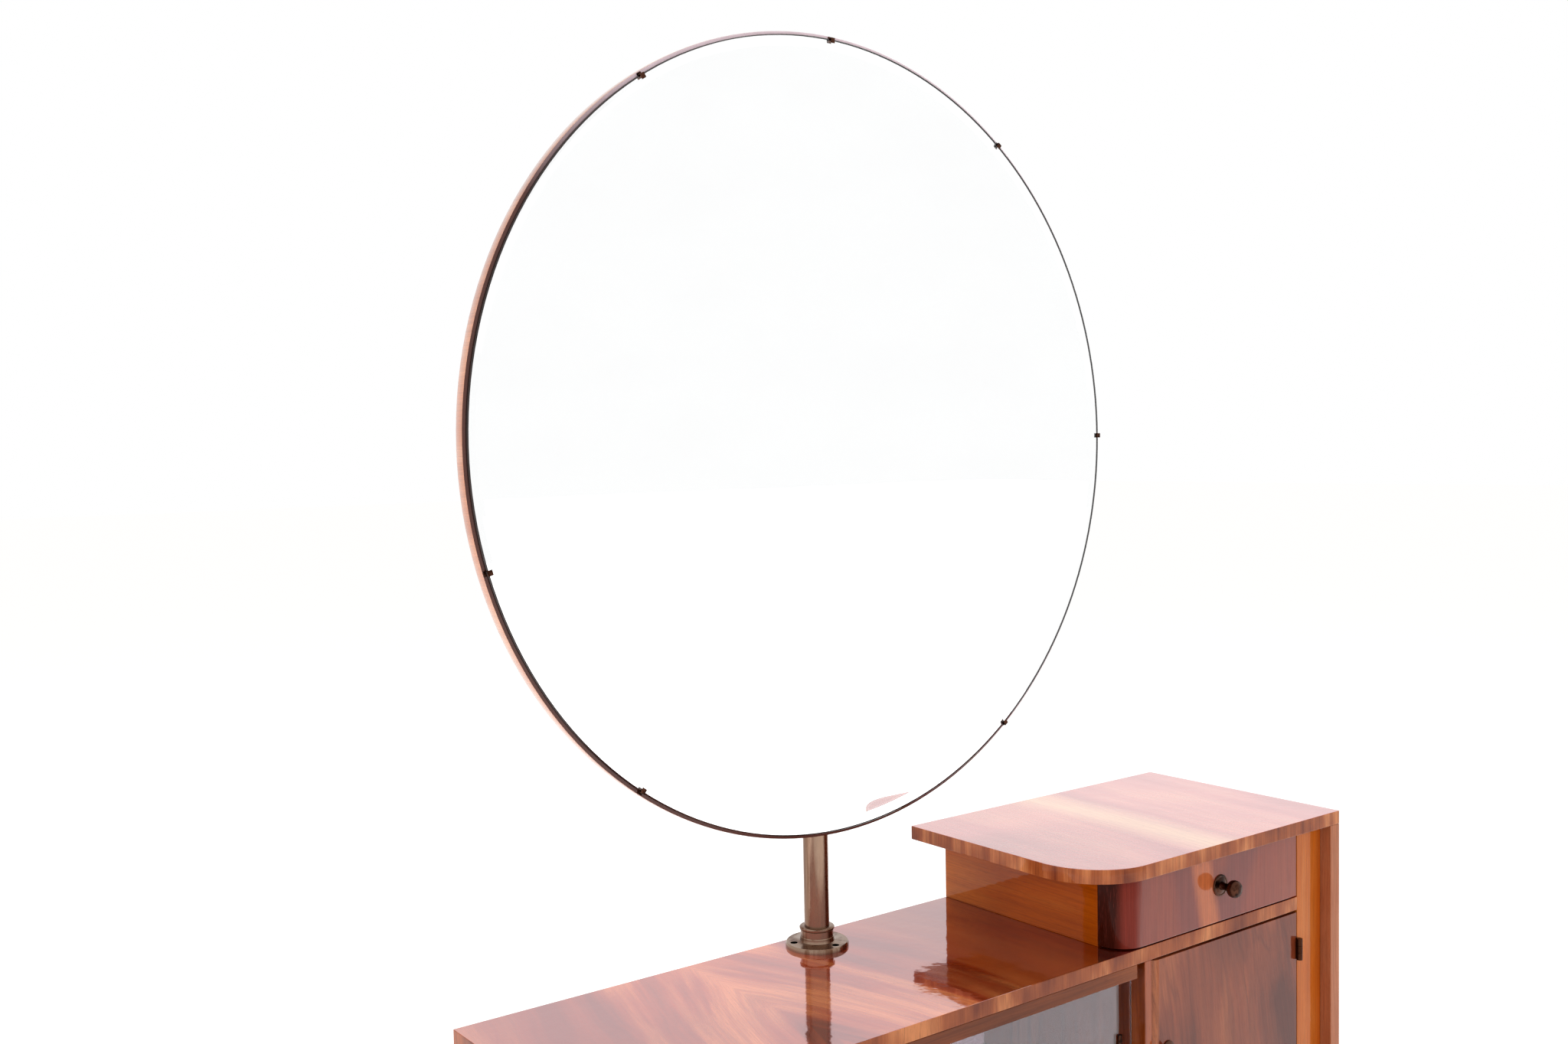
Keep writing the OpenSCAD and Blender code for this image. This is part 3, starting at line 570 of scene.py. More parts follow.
class Finishes:
    """Every finish of the table, built once and shared by its pieces."""

    def __init__(self) -> None:
        """Builds the finishes."""
        self.build_tops()
        self.build_fronts()
        self.build_insides()
        self.build_mirror()
        self.build_metals()

    def build_tops(self) -> None:
        """Builds the tops, their banding and the sides."""
        self.low_top = Veneer(
            "low_top_veneer", Grain.DEPTH, ((84, 14, 16), (186, 74, 34), (252, 150, 84)),
            streak=24.0, cloud=4.0, cloud_weight=0.5, wave=0.07, vein=0.2, contrast=0.11,
            fold=Fold(-0.27, -0.35, 0.45), gloss_ior=1.7, film=Film(4.0, (1.0, 0.56, 0.58)),
            # The band at 0.10 is painted shade and painted dark reflection on the low top beside
            # the pedestal
            stripes=(Stripe(0.10, 0.16, 0.08, (70, 16, 4), 0.85),
                     Stripe(-0.52, 0.10, 0.08, (120, 36, 24), 0.7)),
        ).make()
        self.pedestal_top = Veneer(
            "pedestal_top_veneer", Grain.DEPTH,
            # The pink in these tones is partly the wood's colour and partly painted sheen of the
            # varnish
            ((182, 88, 96), (216, 118, 114), (232, 146, 124)), streak=24.0, wave=0.05,
            turn=5.0, vein=0.15, gloss_ior=2.2, base_ior=1.8,
            stripes=(Stripe(0.32, 0.032, 0.024, (246, 190, 150), 0.9),),
        ).make()
        self.edge = Veneer(
            "edge_banding", Grain.RIM, BAND, streak=34.0, length=5.0, cloud=14.0,
            cloud_weight=0.7, wave=0.012, contrast=0.26, gloss=0.6,
        ).make()
        self.top_edge = Veneer(
            "top_edge_banding", Grain.RIM, BAND, streak=64.0, length=3.0, cloud=14.0,
            cloud_weight=0.5, wave=0.006, contrast=0.2, gloss=0.6, shift=(0.0, 0.4, 0.0),
        ).make()
        self.panel = Veneer("side_veneer", Grain.HEIGHT, streak=34.0, wave=0.04).make()
        self.upper_side = Veneer(
            "upper_side_veneer", Grain.DEPTH, ((138, 52, 2), (174, 78, 6), (200, 110, 34)),
            streak=26.0, wave=0.02, cloud_weight=0.3, base_ior=1.0, gloss=0.65,
        ).make()

    def build_fronts(self) -> None:
        """Builds the figured veneers of the drawer, the door and the stile."""
        self.drawer = Veneer(
            "drawer_veneer", Grain.HEIGHT, ((126, 52, 42), (148, 66, 48), (166, 82, 54)),
            streak=40.0, wave=0.03, cloud=9.0, cloud_weight=0.3, contrast=0.4, vein=0.2,
            shift=(0.2, 0.1, 0.3), dull_until=0.186,
            stripes=(
                Stripe(0.272, 0.020, 0.010, (120, 52, 48), 0.7, -0.2, 0.545),
                Stripe(0.365, 0.030, 0.010, (122, 56, 52), 0.7, 0.5, 0.545),
                Stripe(0.311, 0.018, 0.006, (200, 108, 62), 0.9, -0.2, 0.545),
                # The next two dark bands at the rounded left corner are partly darker veneer and
                # partly painted shade under the pedestal top's overhang
                Stripe(0.158, 0.030, 0.010, (124, 44, 34), 0.9),
                Stripe(0.154, 0.008, 0.003, (58, 14, 4)),
            ),
        ).make()
        self.door = Veneer(
            "door_veneer", Grain.HEIGHT, ((92, 34, 20), (142, 66, 38), (178, 98, 58)),
            streak=26.0, wave=0.09, cloud=6.0, turn=10.0, contrast=0.2, vein=0.35,
            shift=(0.6, 0.4, 0.1), gloss=0.85,
            stripes=(Stripe(0.208, 0.008, 0.002, (190, 110, 66), 0.8),),
        ).make()
        plain = {"streak": 60.0, "cloud": 16.0, "cloud_weight": 0.3, "contrast": 0.4,
                 "vein": 0.1, "shift": (0.1, 0.7, 0.2), "gloss": 0.5}
        self.stile = Veneer(
            "stile_veneer", Grain.HEIGHT, ((176, 82, 16), (204, 108, 34), (220, 138, 70)),
            # The band at 0.562 is painted shade at the stile's right end, beside the right side
            stripes=(Stripe(0.562, 0.022, 0.018, (176, 78, 12), 0.9),), **plain,
        ).make()
        self.side_edge = Veneer(
            "side_edge_veneer", Grain.HEIGHT,
            ((160, 84, 48), (186, 112, 74), (206, 140, 104)), **plain,
        ).make()

    def build_insides(self) -> None:
        """Builds the woods that only show inside, below or behind."""
        self.inner_flat = Veneer(
            "inner_flat_veneer", tones=DULL, streak=40.0, gloss=0.4, gloss_ior=1.5
        ).make()
        self.carcass = Timber("carcass_wood").make()
        self.carcass_deep = Timber("carcass_wood_deep", Grain.DEPTH).make()
        self.ply = Timber("back_ply", Grain.HEIGHT, (128, 84, 48), (178, 130, 84)).make()
        self.plinth = Timber(
            "plinth_stain", Grain.LENGTH, (24, 14, 10), (52, 32, 24), 0.4
        ).make()

    def build_mirror(self) -> None:
        """Builds the finishes of the disc and its mirror glass."""
        self.backing = Timber(
            "mirror_back", Grain.HEIGHT, (120, 76, 44), (176, 124, 78), 0.5
        ).make()
        self.disc_edge = Veneer(
            "disc_edge_veneer", Grain.RIM, ((176, 96, 58), (206, 130, 88), (228, 164, 122)),
            streak=60.0, length=2.0, cloud=8.0, contrast=0.4, vein=0.1, gloss_ior=2.0,
            base_ior=1.6,
        ).make()
        # The ring's paling towards the upper right is painted sheen
        self.disc_ring = RingStainAndSheen("disc_ring_stain_and_sheen").make()
        self.silver = Silvering("silvered_glass").make()
        self.bevel_glass = Glass("mirror_front_glass", (255, 255, 255), 1.5).make()
        self.glass_edge = Timber(
            "mirror_glass_edge", Grain.HEIGHT, (24, 12, 10), (40, 22, 18), 0.25
        ).make()

    def build_metals(self) -> None:
        """Builds the metals and the clear glass."""
        self.plated = Metal(
            "plated_metal", (148, 122, 104), (102, 66, 46), 0.2, 46.0, (1.0, 1.0, 0.03)
        ).make()
        self.brass = Metal("old_brass", (78, 48, 36), (30, 14, 10), 0.24, 90.0).make()
        self.iron = Metal("hinge_bronze", (62, 34, 22), (26, 14, 10), 0.3, 90.0).make()
        self.steel = Metal("plain_steel", (176, 176, 178), (112, 106, 100), 0.28, 80.0).make()
        self.clear = Glass("pane_glass", (232, 220, 230), 1.6).make()


def placed(name: str, data: bpy.types.ID) -> bpy.types.Object:
    """Adds an object with this data to the scene and returns it."""
    thing = bpy.data.objects.new(name, data)
    bpy.context.scene.collection.objects.link(thing)
    return thing


class Workpiece:
    """A piece in the making: a bmesh that is shaped, then finished as an object."""

    def __init__(self, name: str) -> None:
        """Starts an empty piece for an object of this name."""
        self.name = name
        self.bm = bmesh.new()

    def soften(self, width: float, segments: int = 2, where: Test | None = None) -> None:
        """Rounds sharp edges over.

        Args:
            width: Width of the rounding, in millimetres.
            segments: Number of strips in the rounding.
            where: Says by an edge's middle and direction whether it is rounded; all of
                them are if it is left out.
        """
        chosen = []
        for edge in self.bm.edges:
            if len(edge.link_faces) != 2 or edge.calc_face_angle(0.0) < math.radians(SHARP):
                continue
            a, b = edge.verts[0].co, edge.verts[1].co
            if where is None or where((a + b) / 2, (b - a).normalized()):
                chosen.append(edge)
        if chosen:
            bmesh.ops.bevel(
                self.bm, geom=chosen, offset=width * MM, offset_type="OFFSET", segments=segments,
                profile=0.5, affect="EDGES", clamp_overlap=True, material=-1,
            )

    def outer(self) -> Test:
        """Returns a test for edges that lie on two sides of the piece's box."""
        low = Vector([min(v.co[i] for v in self.bm.verts) for i in range(3)])
        high = Vector([max(v.co[i] for v in self.bm.verts) for i in range(3)])

        def test(middle: Vector, way: Vector) -> bool:
            """Says whether an edge lies on two sides of the box."""
            sides = sum(
                abs(middle[i] - low[i]) < NEAR or abs(middle[i] - high[i]) < NEAR
                for i in range(3)
            )
            return sides >= 2

        return test

    def smooth_corner(self, right: float, back: float = math.inf) -> None:
        """Shades the outer faces of the piece's front left corner smooth.

        Args:
            right: Where the corner ends along the table.
            back: Where it ends towards the back.
        """
        for face in self.bm.faces:
            middle, normal = face.calc_center_median(), face.normal
            outside = normal.x < TURNED and normal.y < TURNED and abs(normal.z) < FACING
            face.smooth = outside and middle.x < right and middle.y < back

    def paint(self, choose: Choice) -> None:
        """Gives each face a finish.

        Args:
            choose: Gives the finish's number by a face's middle and normal.
        """
        self.bm.normal_update()
        for face in self.bm.faces:
            face.material_index = choose(face.calc_center_median(), face.normal)

    def rim(self, along: Way) -> None:
        """Adds the map that lays edge veneer round the piece.

        Args:
            along: Gives a point's distance along the rim, in metres.
        """
        layer = self.bm.loops.layers.uv.new("rim")
        for face in self.bm.faces:
            for loop in face.loops:
                loop[layer].uv = (along(loop.vert.co), loop.vert.co.z)

    def to_object(self, materials: Sequence[Material]) -> bpy.types.Object:
        """Turns the piece into an object of the scene.

        Args:
            materials: Its finishes, in the order of their numbers.

        Returns:
            The object.
        """
        mesh = bpy.data.meshes.new(self.name)
        self.bm.to_mesh(mesh)
        self.bm.free()
        for material in materials:
            mesh.materials.append(material)
        return placed(self.name, mesh)

    def done(self, body: str, slot: str, nodes: Sequence[str],
             materials: Sequence[Material], smooth: float | None = None) -> None:
        """Ends the piece as an object that rides on its body.

        Args:
            body: The CAD body that carries it.
            slot: The record's material slot; not used.
            nodes: The CAD nodes that it stands for.
            materials: Its finishes, in the order of their numbers.
            smooth: Angle below which edges are shaded smooth, in degrees.
        """
        if smooth is not None:
            limit = math.radians(smooth)
            for face in self.bm.faces:
                face.smooth = True
            for edge in self.bm.edges:
                edge.smooth = edge.calc_face_angle(0.0) < limit
        self.bm.normal_update()
        piece = self.to_object(materials)
        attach(piece, body)
        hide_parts(*nodes)
        LOG.info("%s: %d faces on %s", self.name, len(piece.data.polygons), body)


@dataclass(frozen=True)
class Lathe:
    """Turns profiles round an axis through its centre, all in millimetres."""

    centre: Triple
    axis: Triple

    def turn(self, name: str, profile: Sequence[tuple[float, float]],
             steps: int = 64) -> Workpiece:
        """Turns one form as a new piece.

        Args:
            name: Name of the finished object.
            profile: Radii and heights from one end to the other.
            steps: Number of strips round the axis.

        Returns:
            The piece in the making.
        """
        piece = Workpiece(name)
        bm = piece.bm
        centre, axis = Vector([part * MM for part in self.centre]), Vector(self.axis)
        points = [
            bm.verts.new(centre + ACROSS * (radius * MM) + axis * (height * MM))
            for radius, height in profile
        ]
        lines = [bm.edges.new(pair) for pair in zip(points, points[1:])]
        bmesh.ops.spin(
            bm, geom=[*points, *lines], cent=centre, axis=axis, dvec=(0, 0, 0),
            angle=math.tau, steps=steps, use_merge=True, use_duplicate=False,
        )
        bmesh.ops.remove_doubles(bm, verts=bm.verts, dist=0.005 * MM)
        bmesh.ops.recalc_face_normals(bm, faces=bm.faces)
        return piece


@dataclass(frozen=True)
class Studio:
    """The floor, the soft light, the white surround and the photograph's camera."""

    camera_place: Triple = (-1.2294, -1.3056, 1.1276)
    azimuth: float = -37.134
    elevation: float = -2.94
    roll: float = -1.07
    lens: float = 34.374
    around: float = 0.42
    around_tint: Triple = (1.0, 0.985, 0.97)
    floor_tint: Triple = (0.8, 0.79, 0.78)
    floor_glow: float = 0.67
    floor_size: float = 30.0

    def build(self) -> None:
        """Sets the whole studio up."""
        bpy.context.scene.view_settings.view_transform = "Standard"
        self.add_camera()
        self.add_world()
        self.add_floor()
        self.add_lamps()

    def add_camera(self) -> None:
        """Adds the camera at the photograph's place and turn."""
        data = bpy.data.cameras.new("camera")
        data.lens = self.lens
        data.sensor_width = 36.0
        data.clip_start = 0.05
        data.clip_end = 100.0
        camera = placed("camera", data)
        matrix = Matrix.Translation(self.camera_place)
        for angle, axis in ((self.azimuth, "Z"), (90 + self.elevation, "X"), (self.roll, "Z")):
            matrix = matrix @ Matrix.Rotation(math.radians(angle), 4, axis)
        camera.matrix_world = matrix
        bpy.context.scene.camera = camera

    def add_world(self) -> None:
        """Adds a world that looks white and lights the table softly."""
        world = bpy.data.worlds.new("surround")
        bpy.context.scene.world = world
        tree = Tree(world)
        eye, glass = tree.sight()
        shown = tree.add("Math", {0: eye, 1: glass}, operation="ADD", use_clamp=True)
        light = tree.add("Background", {"Color": self.around_tint, "Strength": self.around})
        white = tree.add("Background", {"Color": (1.0, 1.0, 1.0), "Strength": 1.0})
        blend = {0: shown.outputs[0], 1: light.outputs[0], 2: white.outputs[0]}
        tree.add("OutputWorld", {"Surface": tree.add("MixShader", blend).outputs[0]})

    def add_floor(self) -> None:
        """Adds a pale floor that looks white and keeps the table's shadow."""
        tree = Tree.of_material("pale_floor")
        strength = tree.math("MULTIPLY", tree.math("ADD", *tree.sight()), self.floor_glow)
        glow = tree.add("Emission", {"Color": (1.0, 1.0, 1.0), "Strength": strength})
        dull = tree.add("BsdfDiffuse", {"Color": self.floor_tint})
        both = tree.add("AddShader", {0: glow.outputs[0], 1: dull.outputs[0]})
        tree.add("OutputMaterial", {"Surface": both.outputs[0]})
        piece = Workpiece("floor")
        bmesh.ops.create_grid(piece.bm, x_segments=1, y_segments=1, size=self.floor_size)
        floor = piece.to_object([tree.owner])

    def add_lamps(self) -> None:
        """Adds the soft square lamps, which show in no gloss and through no glass."""
        for name, place, aim, size, power in (
            ("key_light", (0.9, 0.5, 3.1), (0.1, 0.0, 0.6), 2.0, 57.0),
            ("fill_light", (0.4, -3.4, 1.6), (0.1, 0.0, 0.5), 2.4, 40.0),
            ("side_light", (-3.0, 0.3, 0.8), (0.1, 0.0, 0.5), 1.5, 42.0),
        ):
            data = bpy.data.lights.new(name, "AREA")
            data.shape = "SQUARE"
            data.size = size
            data.energy = power
            lamp = placed(name, data)
            lamp.location = place
            way = Vector(aim) - Vector(place)
            lamp.rotation_euler = way.to_track_quat("-Z", "Y").to_euler()
            lamp.visible_glossy = False
            lamp.visible_transmission = False


@dataclass(frozen=True)
class SubAssembly:
    """A group of pieces, built from the frame with the shared finishes.

    Its lengths are in millimetres.
    """

    frame: dict
    looks: Finishes

    def copy(self, node: str, name: str) -> Workpiece:
        """Starts a piece from a copy of a CAD node with whole faces.

        Args:
            node: The node to copy.
            name: Name of the finished object.

        Returns:
            The piece in the making.
        """
        piece = Workpiece(name)
        bm = piece.bm
        bm.from_mesh(self.frame["nodes"][node].data)
        bmesh.ops.remove_doubles(bm, verts=bm.verts, dist=0.002 * MM)
        bmesh.ops.dissolve_limit(
            bm, angle_limit=math.radians(0.5), verts=bm.verts, edges=bm.edges
        )
        return piece

    def dress(self, material: Material, *nodes: str) -> None:
        """Gives CAD nodes that stay their finish.

        Args:
            material: Their finish.
            nodes: The nodes.
        """
        for node in nodes:
            for slot in self.frame["nodes"][node].material_slots:
                slot.material = material
            LOG.info("%s: dressed", node)


def top_faces(middle: Vector, normal: Vector) -> int:
    """Chooses figured veneer above, banding on the rim and plain veneer below."""
    if normal.z > FACING:
        return 0
    return 2 if normal.z < -FACING else 1


@dataclass(frozen=True)
class Case(SubAssembly):
    """The cabinet's boards, glass tracks, plinth and shelves."""

    edge_round: float = 0.8
    top_corner: float = 87

    def build(self) -> None:
        """Builds and dresses every board of the case."""
        self.build_low_top()
        self.build_pedestal_top()
        self.build_boards()
        self.dress_small_parts()

    def board(self, node: str, slot: str, materials: Sequence[Material],
              choose: Choice | None = None, rim: Way | None = None) -> None:
        """Makes one board with softened edges in the place of its CAD node.

        Args:
            node: The board's CAD node.
            slot: The record's material slot.
            materials: The board's finishes.
            choose: Gives the finish's number for a face.
            rim: Gives a point's distance along the board's rim.
        """
        piece = self.copy(node, f"{node}_board")
        piece.soften(self.edge_round, 2, piece.outer())
        if choose is not None:
            piece.paint(choose)
        if rim is not None:
            piece.rim(rim)
        piece.done("case", slot, [node], materials)

    def build_low_top(self) -> None:
        """Makes the low top with its figured face and banded edges."""
        low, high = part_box("low_top")
        looks = self.looks

        def rim(point: Vector) -> float:
            """Distance from the right end, round the front left corner."""
            return (high.x - point.x) + (point.y - low.y)

        self.board("low_top", "walnut_veneer",
                   [looks.low_top, looks.edge, looks.inner_flat], top_faces, rim)

    def build_pedestal_top(self) -> None:
        """Makes the pedestal top, whose front left corner is round."""
        low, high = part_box("pedestal_top")
        radius = self.top_corner * MM
        hub = Vector((low.x + radius, low.y + radius, 0.0))
        front = high.x - hub.x

        def on_rim(middle: Vector, way: Vector) -> bool:
            """Says whether an edge belongs to the upper or lower outline."""
            return abs(way.z) < LEVEL or middle.x > hub.x or middle.y > hub.y

        def rim(point: Vector) -> float:
            """Distance from the right end along the front, round the corner and back."""
            if point.x > hub.x:
                return high.x - point.x + (point.y - low.y if point.y > hub.y else 0.0)
            if point.y > hub.y:
                return front + radius * math.pi / 2 + point.y - hub.y
            return front + radius * math.atan2(hub.x - point.x, hub.y - point.y)

        piece = self.copy("pedestal_top", "pedestal_top_board")
        piece.soften(self.edge_round, 2, on_rim)
        piece.paint(top_faces)
        piece.rim(rim)
        piece.smooth_corner(hub.x, hub.y)
        looks = self.looks
        piece.done("case", "walnut_veneer", ["pedestal_top"],
                   [looks.pedestal_top, looks.top_edge, looks.inner_flat])

    def build_boards(self) -> None:
        """Makes the upright boards, the bottom, the shelves, the tracks and the back."""
        looks = self.looks

        def inward(middle: Vector, normal: Vector) -> int:
            """Chooses light edge veneer in front and inside, plain veneer elsewhere."""
            return 1 if normal.y < -TURNED or normal.x < -TURNED else 0

        for node in ("left_side", "partition"):
            self.board(node, "walnut_veneer", [looks.panel])
        self.board("right_side", "walnut_veneer", [looks.panel, looks.side_edge], inward)
        self.board("front_stile", "walnut_veneer", [looks.stile])
        self.board("upper_side", "inner_veneer", [looks.upper_side])
        self.board("bottom_panel", "walnut_veneer", [looks.inner_flat])
        self.board("cupboard_shelf", "inner_veneer", [looks.inner_flat])
        for node in ("upper_glass_track", "lower_glass_track"):
            self.board(node, "walnut_veneer", [looks.inner_flat])
        self.board("glass_shelf", "pane_glass", [looks.clear])
        for node in ("plinth_front", "plinth_back"):
            self.board(node, "plinth_stain", [looks.plinth])
        for node in ("back_panel", "upper_back_panel"):
            self.board(node, "carcass_wood", [looks.ply])

    def dress_small_parts(self) -> None:
        """Gives the hidden and the small case parts their finishes."""
        looks = self.looks
        self.dress(looks.carcass_deep, "plinth_rail", "drawer_guide", "drawer_kickers",
                   "drawer_stop")
        self.dress(looks.carcass, "door_stop")
        self.dress(looks.steel, "shelf_pins")


@dataclass(frozen=True)
class Drawer(SubAssembly):
    """The drawer's front, box and knob."""

    edge_round: float = 0.8
    corner_reach: float = 38
    knob_x: float = 339.5
    knob_z: float = 558
    front_y: float = -138
    rosette_r: float = 14
    head_r: float = 11
    neck_r: float = 5.5
    reach: float = 30

    def build(self) -> None:
        """Builds and dresses the drawer."""
        self.build_front()
        self.build_knob()
        looks = self.looks
        self.dress(looks.carcass_deep, "drawer_left_side", "drawer_right_side")
        self.dress(looks.carcass, "drawer_back", "drawer_bottom")
        self.dress(looks.steel, "knob_screw")

    def build_front(self) -> None:
        """Makes the front with its rounded left corner."""
        low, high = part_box("drawer_front")

        def on_face(middle: Vector, way: Vector) -> bool:
            """Says whether an edge belongs to the front's visible outline."""
            flat = abs(middle.z - low.z) < NEAR or abs(middle.z - high.z) < NEAR
            end = abs(middle.x - high.x) < NEAR and abs(middle.y - low.y) < NEAR
            return (flat and abs(way.z) < LEVEL) or end

        piece = self.copy("drawer_front", "drawer_front_board")
        piece.soften(self.edge_round, 2, on_face)
        piece.smooth_corner(low.x + self.corner_reach * MM)
        piece.done("drawer", "front_veneer", ["drawer_front"], [self.looks.drawer])

    def build_knob(self) -> None:
        """Turns the rosette and the knob."""
        lathe = Lathe((self.knob_x, self.front_y, self.knob_z), (0, -1, 0))
        r, neck, head = self.rosette_r, self.neck_r, self.head_r
        for name, node, profile in (
            ("knob_rosette_turned", "knob_rosette", [
                (0.0, 0.0), (r, 0.0), (r, 1.2), (r - 0.6, 1.9), (r - 2, 2.2), (r - 3, 1.7),
                (r - 5, 2.4), (neck + 1, 3), (0.0, 3),
            ]),
            ("drawer_knob_turned", "drawer_knob", [
                (0.0, 3), (neck, 3), (neck * 0.86, 6), (neck * 0.8, 9), (neck * 0.9, 12.5),
                (neck + 1, 14.4), (head - 2.2, 16), (head - 0.6, 18), (head, 20.5),
                (head, 23), (head - 0.7, 25.6), (head - 2.6, 28), (head - 5, 29.2),
                (head - 8, 29.85), (0.0, self.reach),
            ]),
        ):
            piece = lathe.turn(name, profile)
            piece.done("drawer", "old_brass", [node], [self.looks.brass], 40.0)


@dataclass(frozen=True)
class Door(SubAssembly):
    """The cupboard door with its hinges, lock and key."""

    edge_round: float = 0.6
    corner_reach: float = 12

    def build(self) -> None:
        """Builds and dresses the door."""
        self.build_panel()
        self.build_hinges()
        self.build_lock()

    def build_panel(self) -> None:
        """Makes the door panel with its rounded left edge."""
        low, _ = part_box("door_panel")
        piece = self.copy("door_panel", "door_board")
        piece.soften(self.edge_round, 2, piece.outer())
        piece.smooth_corner(low.x + self.corner_reach * MM)
        piece.done("door", "front_veneer", ["door_panel"], [self.looks.door])

    def build_hinges(self) -> None:
        """Softens the hinge leaves and dresses their pins and screws."""
        for node, body in (("hinge_stile_leaves", "case"), ("hinge_door_leaves", "door")):
            piece = self.copy(node, f"{node}_brass")
            piece.soften(0.25, 1)
            piece.done(body, "old_brass", [node], [self.looks.iron], ROUND)
        self.dress(self.looks.iron, "hinge_pins", "hinge_stile_screws",
                   "hinge_door_screws")

    def build_lock(self) -> None:
        """Makes the escutcheon and the key and dresses the lock and its strike plate."""
        brass = self.looks.brass
        self.dress(brass, "strike_plate")
        plate = self.copy("escutcheon", "escutcheon_plate")
        plate.soften(0.4)
        plate.done("door", "old_brass", ["escutcheon"], [brass], ROUND)
        self.dress(self.looks.steel, "lock_case")
        self.dress(brass, "lock_bolt")
        key = self.copy("door_key", "door_key_cast")
        key.soften(0.3)
        key.done("key", "old_brass", ["door_key"], [brass], ROUND)


@dataclass(frozen=True)
class GlassFront(SubAssembly):
    """The two sliding panes and their grips."""

    arris: float = 0.6
    grip_round: float = 0.8

    def build(self) -> None:
        """Builds both panes."""
        for side in ("left", "right"):
            body, node = f"{side}_glass", f"{side}_pane"
            pane = self.copy(node, f"{node}_sheet")
            pane.soften(self.arris, 1)
            pane.done(body, "pane_glass", [node], [self.looks.clear])
            grip = self.copy(f"{node}_grip", f"{side}_grip_bar")
            grip.soften(self.grip_round, 3)
            grip.done(body, "old_brass", [f"{node}_grip"], [self.looks.brass], ROUND)


@dataclass(frozen=True)
class Post(SubAssembly):
    """The pole with its flange, collar, rod and head."""

    axis_x: float = -104.5
    axis_y: float = 128
    low_z: float = 510
    pole_r: float = 15.5
    pole_wall: float = 2
    run_gap: float = 0.05
    rod_hole_r: float = 6.1
    foot_z: float = 516.3
    head_z: float = 1108
    flange_r: float = 39
    flange_t: float = 6
    collar_r: float = 21
    collar_h: float = 19
    steps: int = 96

    def build(self) -> None:
        """Builds and dresses the post."""
        lathe = Lathe((self.axis_x, self.axis_y, 0.0), (0, 0, 1))
        self.build_socket(lathe)
        self.build_pole(lathe)
        self.dress(self.looks.steel, "tie_rod", "rod_nut")
        head = self.copy("pole_head", "pole_head_cast")
        head.soften(0.5, 2, head.outer())
        head.done("post", "plated_metal", ["pole_head"], [self.looks.plated], ROUND)
        self.dress(self.looks.plated, "flange_screws")

    def build_socket(self, lathe: Lathe) -> None:
        """Turns the flange and the ringed collar."""
        z, r, c, hole = self.low_z, self.flange_r, self.collar_r, self.rod_hole_r
        bore = self.pole_r + self.run_gap
        top = z + self.flange_t
        lip = top + self.collar_h
        piece = lathe.turn("pole_socket_turned", [
            (hole, z), (r, z), (r, z + 3.6), (r - 0.5, z + 4.8), (r - 1.6, top),
            (c + 2.6, top), (c + 0.6, top + 0.8), (c, top + 2.2), (c, top + 5.6),
            (c - 0.8, top + 6.6), (c - 0.8, lip - 4.6), (c + 0.2, lip - 4),
            (c + 0.6, lip - 3.2), (c + 0.6, lip - 1.4), (c - 0.4, lip - 0.4),
            (c - 1.6, lip), (bore, lip), (bore, top), (hole, top), (hole, z),
        ], self.steps)
        piece.done("case", "plated_metal", ["pole_socket"], [self.looks.plated], ROUND)

    def build_pole(self, lathe: Lathe) -> None:
        """Turns the tube of the pole."""
        r, inner = self.pole_r, self.pole_r - self.pole_wall
        piece = lathe.turn("pole_tube", [
            (inner, self.foot_z), (r, self.foot_z), (r, self.head_z - 0.4),
            (r - 0.4, self.head_z), (inner, self.head_z), (inner, self.foot_z),
        ], self.steps)
        piece.done("post", "plated_metal", ["pole"], [self.looks.plated], ROUND)


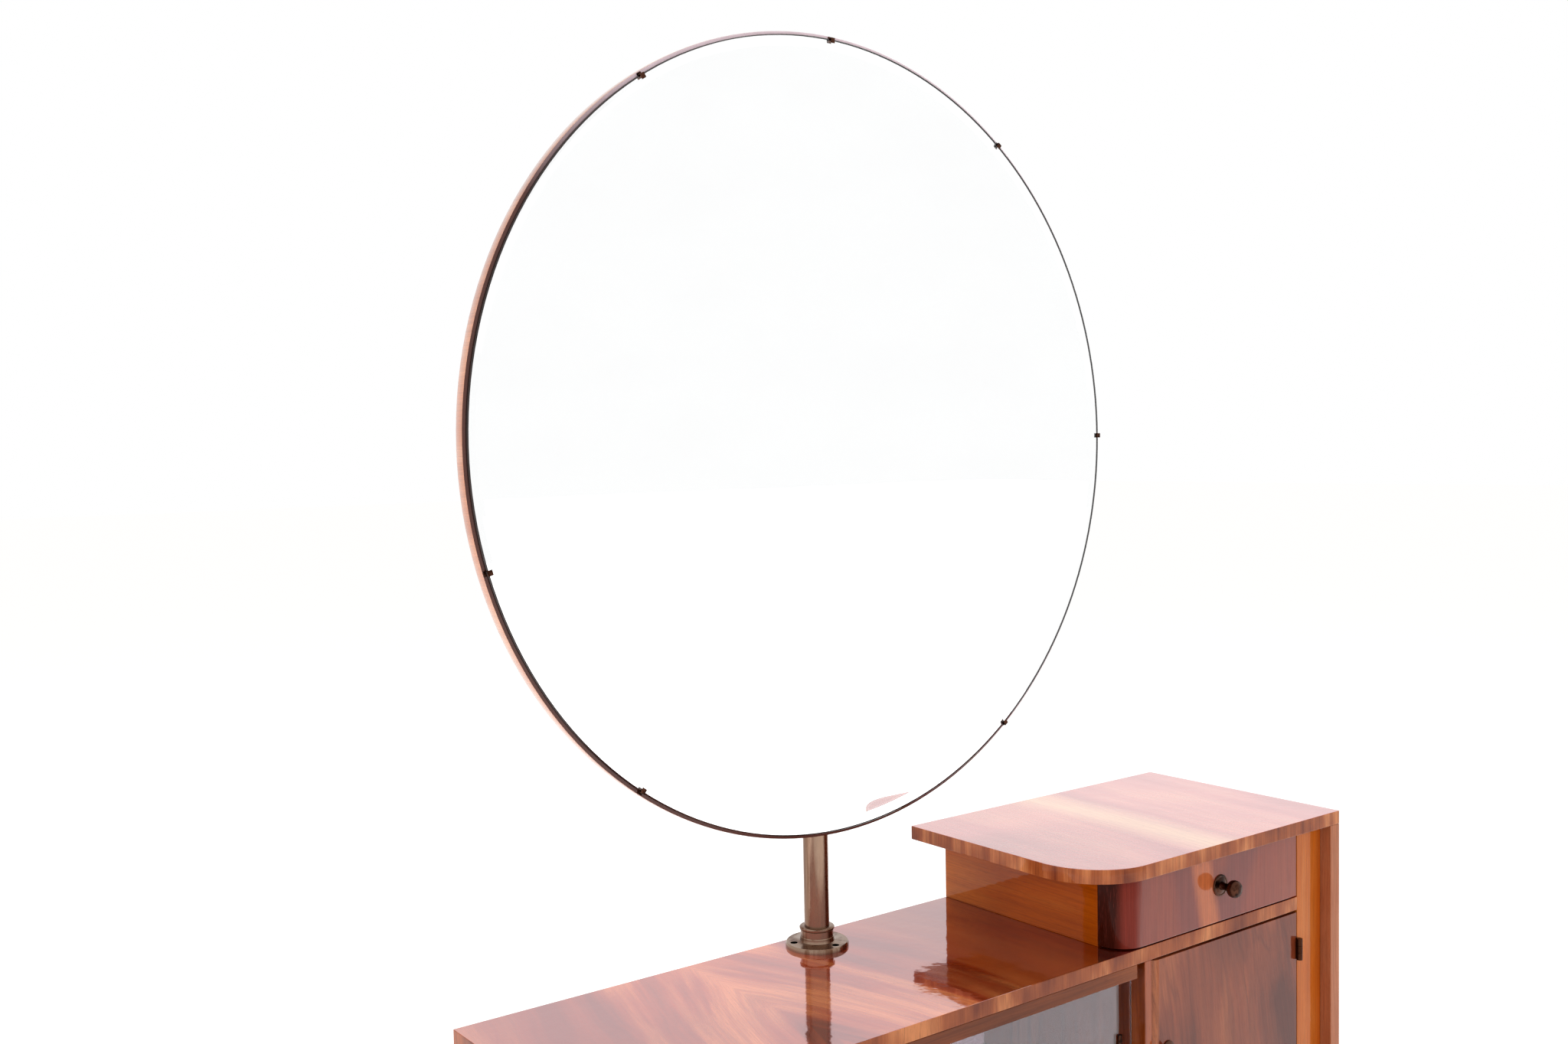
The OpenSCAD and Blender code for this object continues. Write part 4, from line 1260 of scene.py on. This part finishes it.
@dataclass(frozen=True)
class Mirror(SubAssembly):
    """The round mirror, its backing disc, clips and tilting plate."""

    axis_x: float = -104.5
    tilt_z: float = 1133
    disc_front_y: float = 84
    disc_back_y: float = 99
    disc_r: float = 475
    glass_r: float = 471
    bevel: float = 12.5
    bevel_drop: float = 2
    arris: float = 1.4
    glass_t: float = 6
    behind: float = 0.1
    steps: int = 180

    def build(self) -> None:
        """Builds and dresses the mirror."""
        lathe = Lathe((self.axis_x, 0.0, self.tilt_z), (0, 1, 0))
        self.build_disc(lathe)
        self.build_glass(lathe)
        clips = self.copy("mirror_clips", "mirror_clips_bent")
        clips.soften(0.2, 1)
        clips.done("mirror", "plated_metal", ["mirror_clips"], [self.looks.brass], ROUND)
        self.dress(self.looks.steel, "mirror_plate", "plate_screws", "tilt_bolt")
        self.dress(self.looks.brass, "tilt_nut")

    def build_disc(self, lathe: Lathe) -> None:
        """Turns the backing disc with its rounded edge."""
        r, front, back = self.disc_r, self.disc_front_y, self.disc_back_y
        piece = lathe.turn("mirror_disc", [
            (0.0, front), (r - 1.5, front), (r - 0.4, front + 0.5),
            (r, front + 1.6), (r, back - 1.6), (r - 0.4, back - 0.5),
            (r - 1.5, back), (0.0, back),
        ], self.steps)

        def choose(middle: Vector, normal: Vector) -> int:
            """Chooses plain wood behind, a dark ring in front and veneer on the rim."""
            if normal.y > FACING:
                return 1
            return 2 if normal.y < -FACING else 0

        def rim(point: Vector) -> float:
            """Distance round the disc."""
            turn = math.atan2(point.z - self.tilt_z * MM, point.x - self.axis_x * MM)
            return self.disc_r * MM * turn

        piece.paint(choose)
        piece.rim(rim)
        looks = self.looks
        piece.done("mirror", "walnut_veneer", ["mirror_board"],
                   [looks.disc_edge, looks.backing, looks.disc_ring], ROUND)

    def build_glass(self, lathe: Lathe) -> None:
        """Turns the bevelled mirror glass with its ground edge and silvered back."""
        r, back = self.glass_r, self.disc_front_y - self.behind
        front = self.disc_front_y - self.glass_t
        edge = front + self.bevel_drop
        piece = lathe.turn("mirror_glass_bevelled", [
            (0.0, back), (r, back), (r, edge + self.arris), (r - self.arris, edge - 0.2),
            (r - self.bevel, front), (0.0, front),
        ], self.steps)

        def choose(middle: Vector, normal: Vector) -> int:
            """Chooses clear glass in front, silver behind and a dark ground edge."""
            if normal.y > FACING:
                return 2
            return 0 if normal.y < -FACING else 1

        piece.paint(choose)
        looks = self.looks
        piece.done("mirror", "silvered_glass", ["mirror_glass"],
                   [looks.bevel_glass, looks.glass_edge, looks.silver], 5.0)


def main() -> None:
    """Builds the studio and every sub-assembly of the dressing table."""
    logging.basicConfig(level=logging.INFO, format="%(name)s: %(message)s")
    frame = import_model()
    Studio().build()
    looks = Finishes()
    for group in (Case, Drawer, Door, GlassFront, Post, Mirror):
        group(frame, looks).build()


if __name__ == "__main__":
    main()
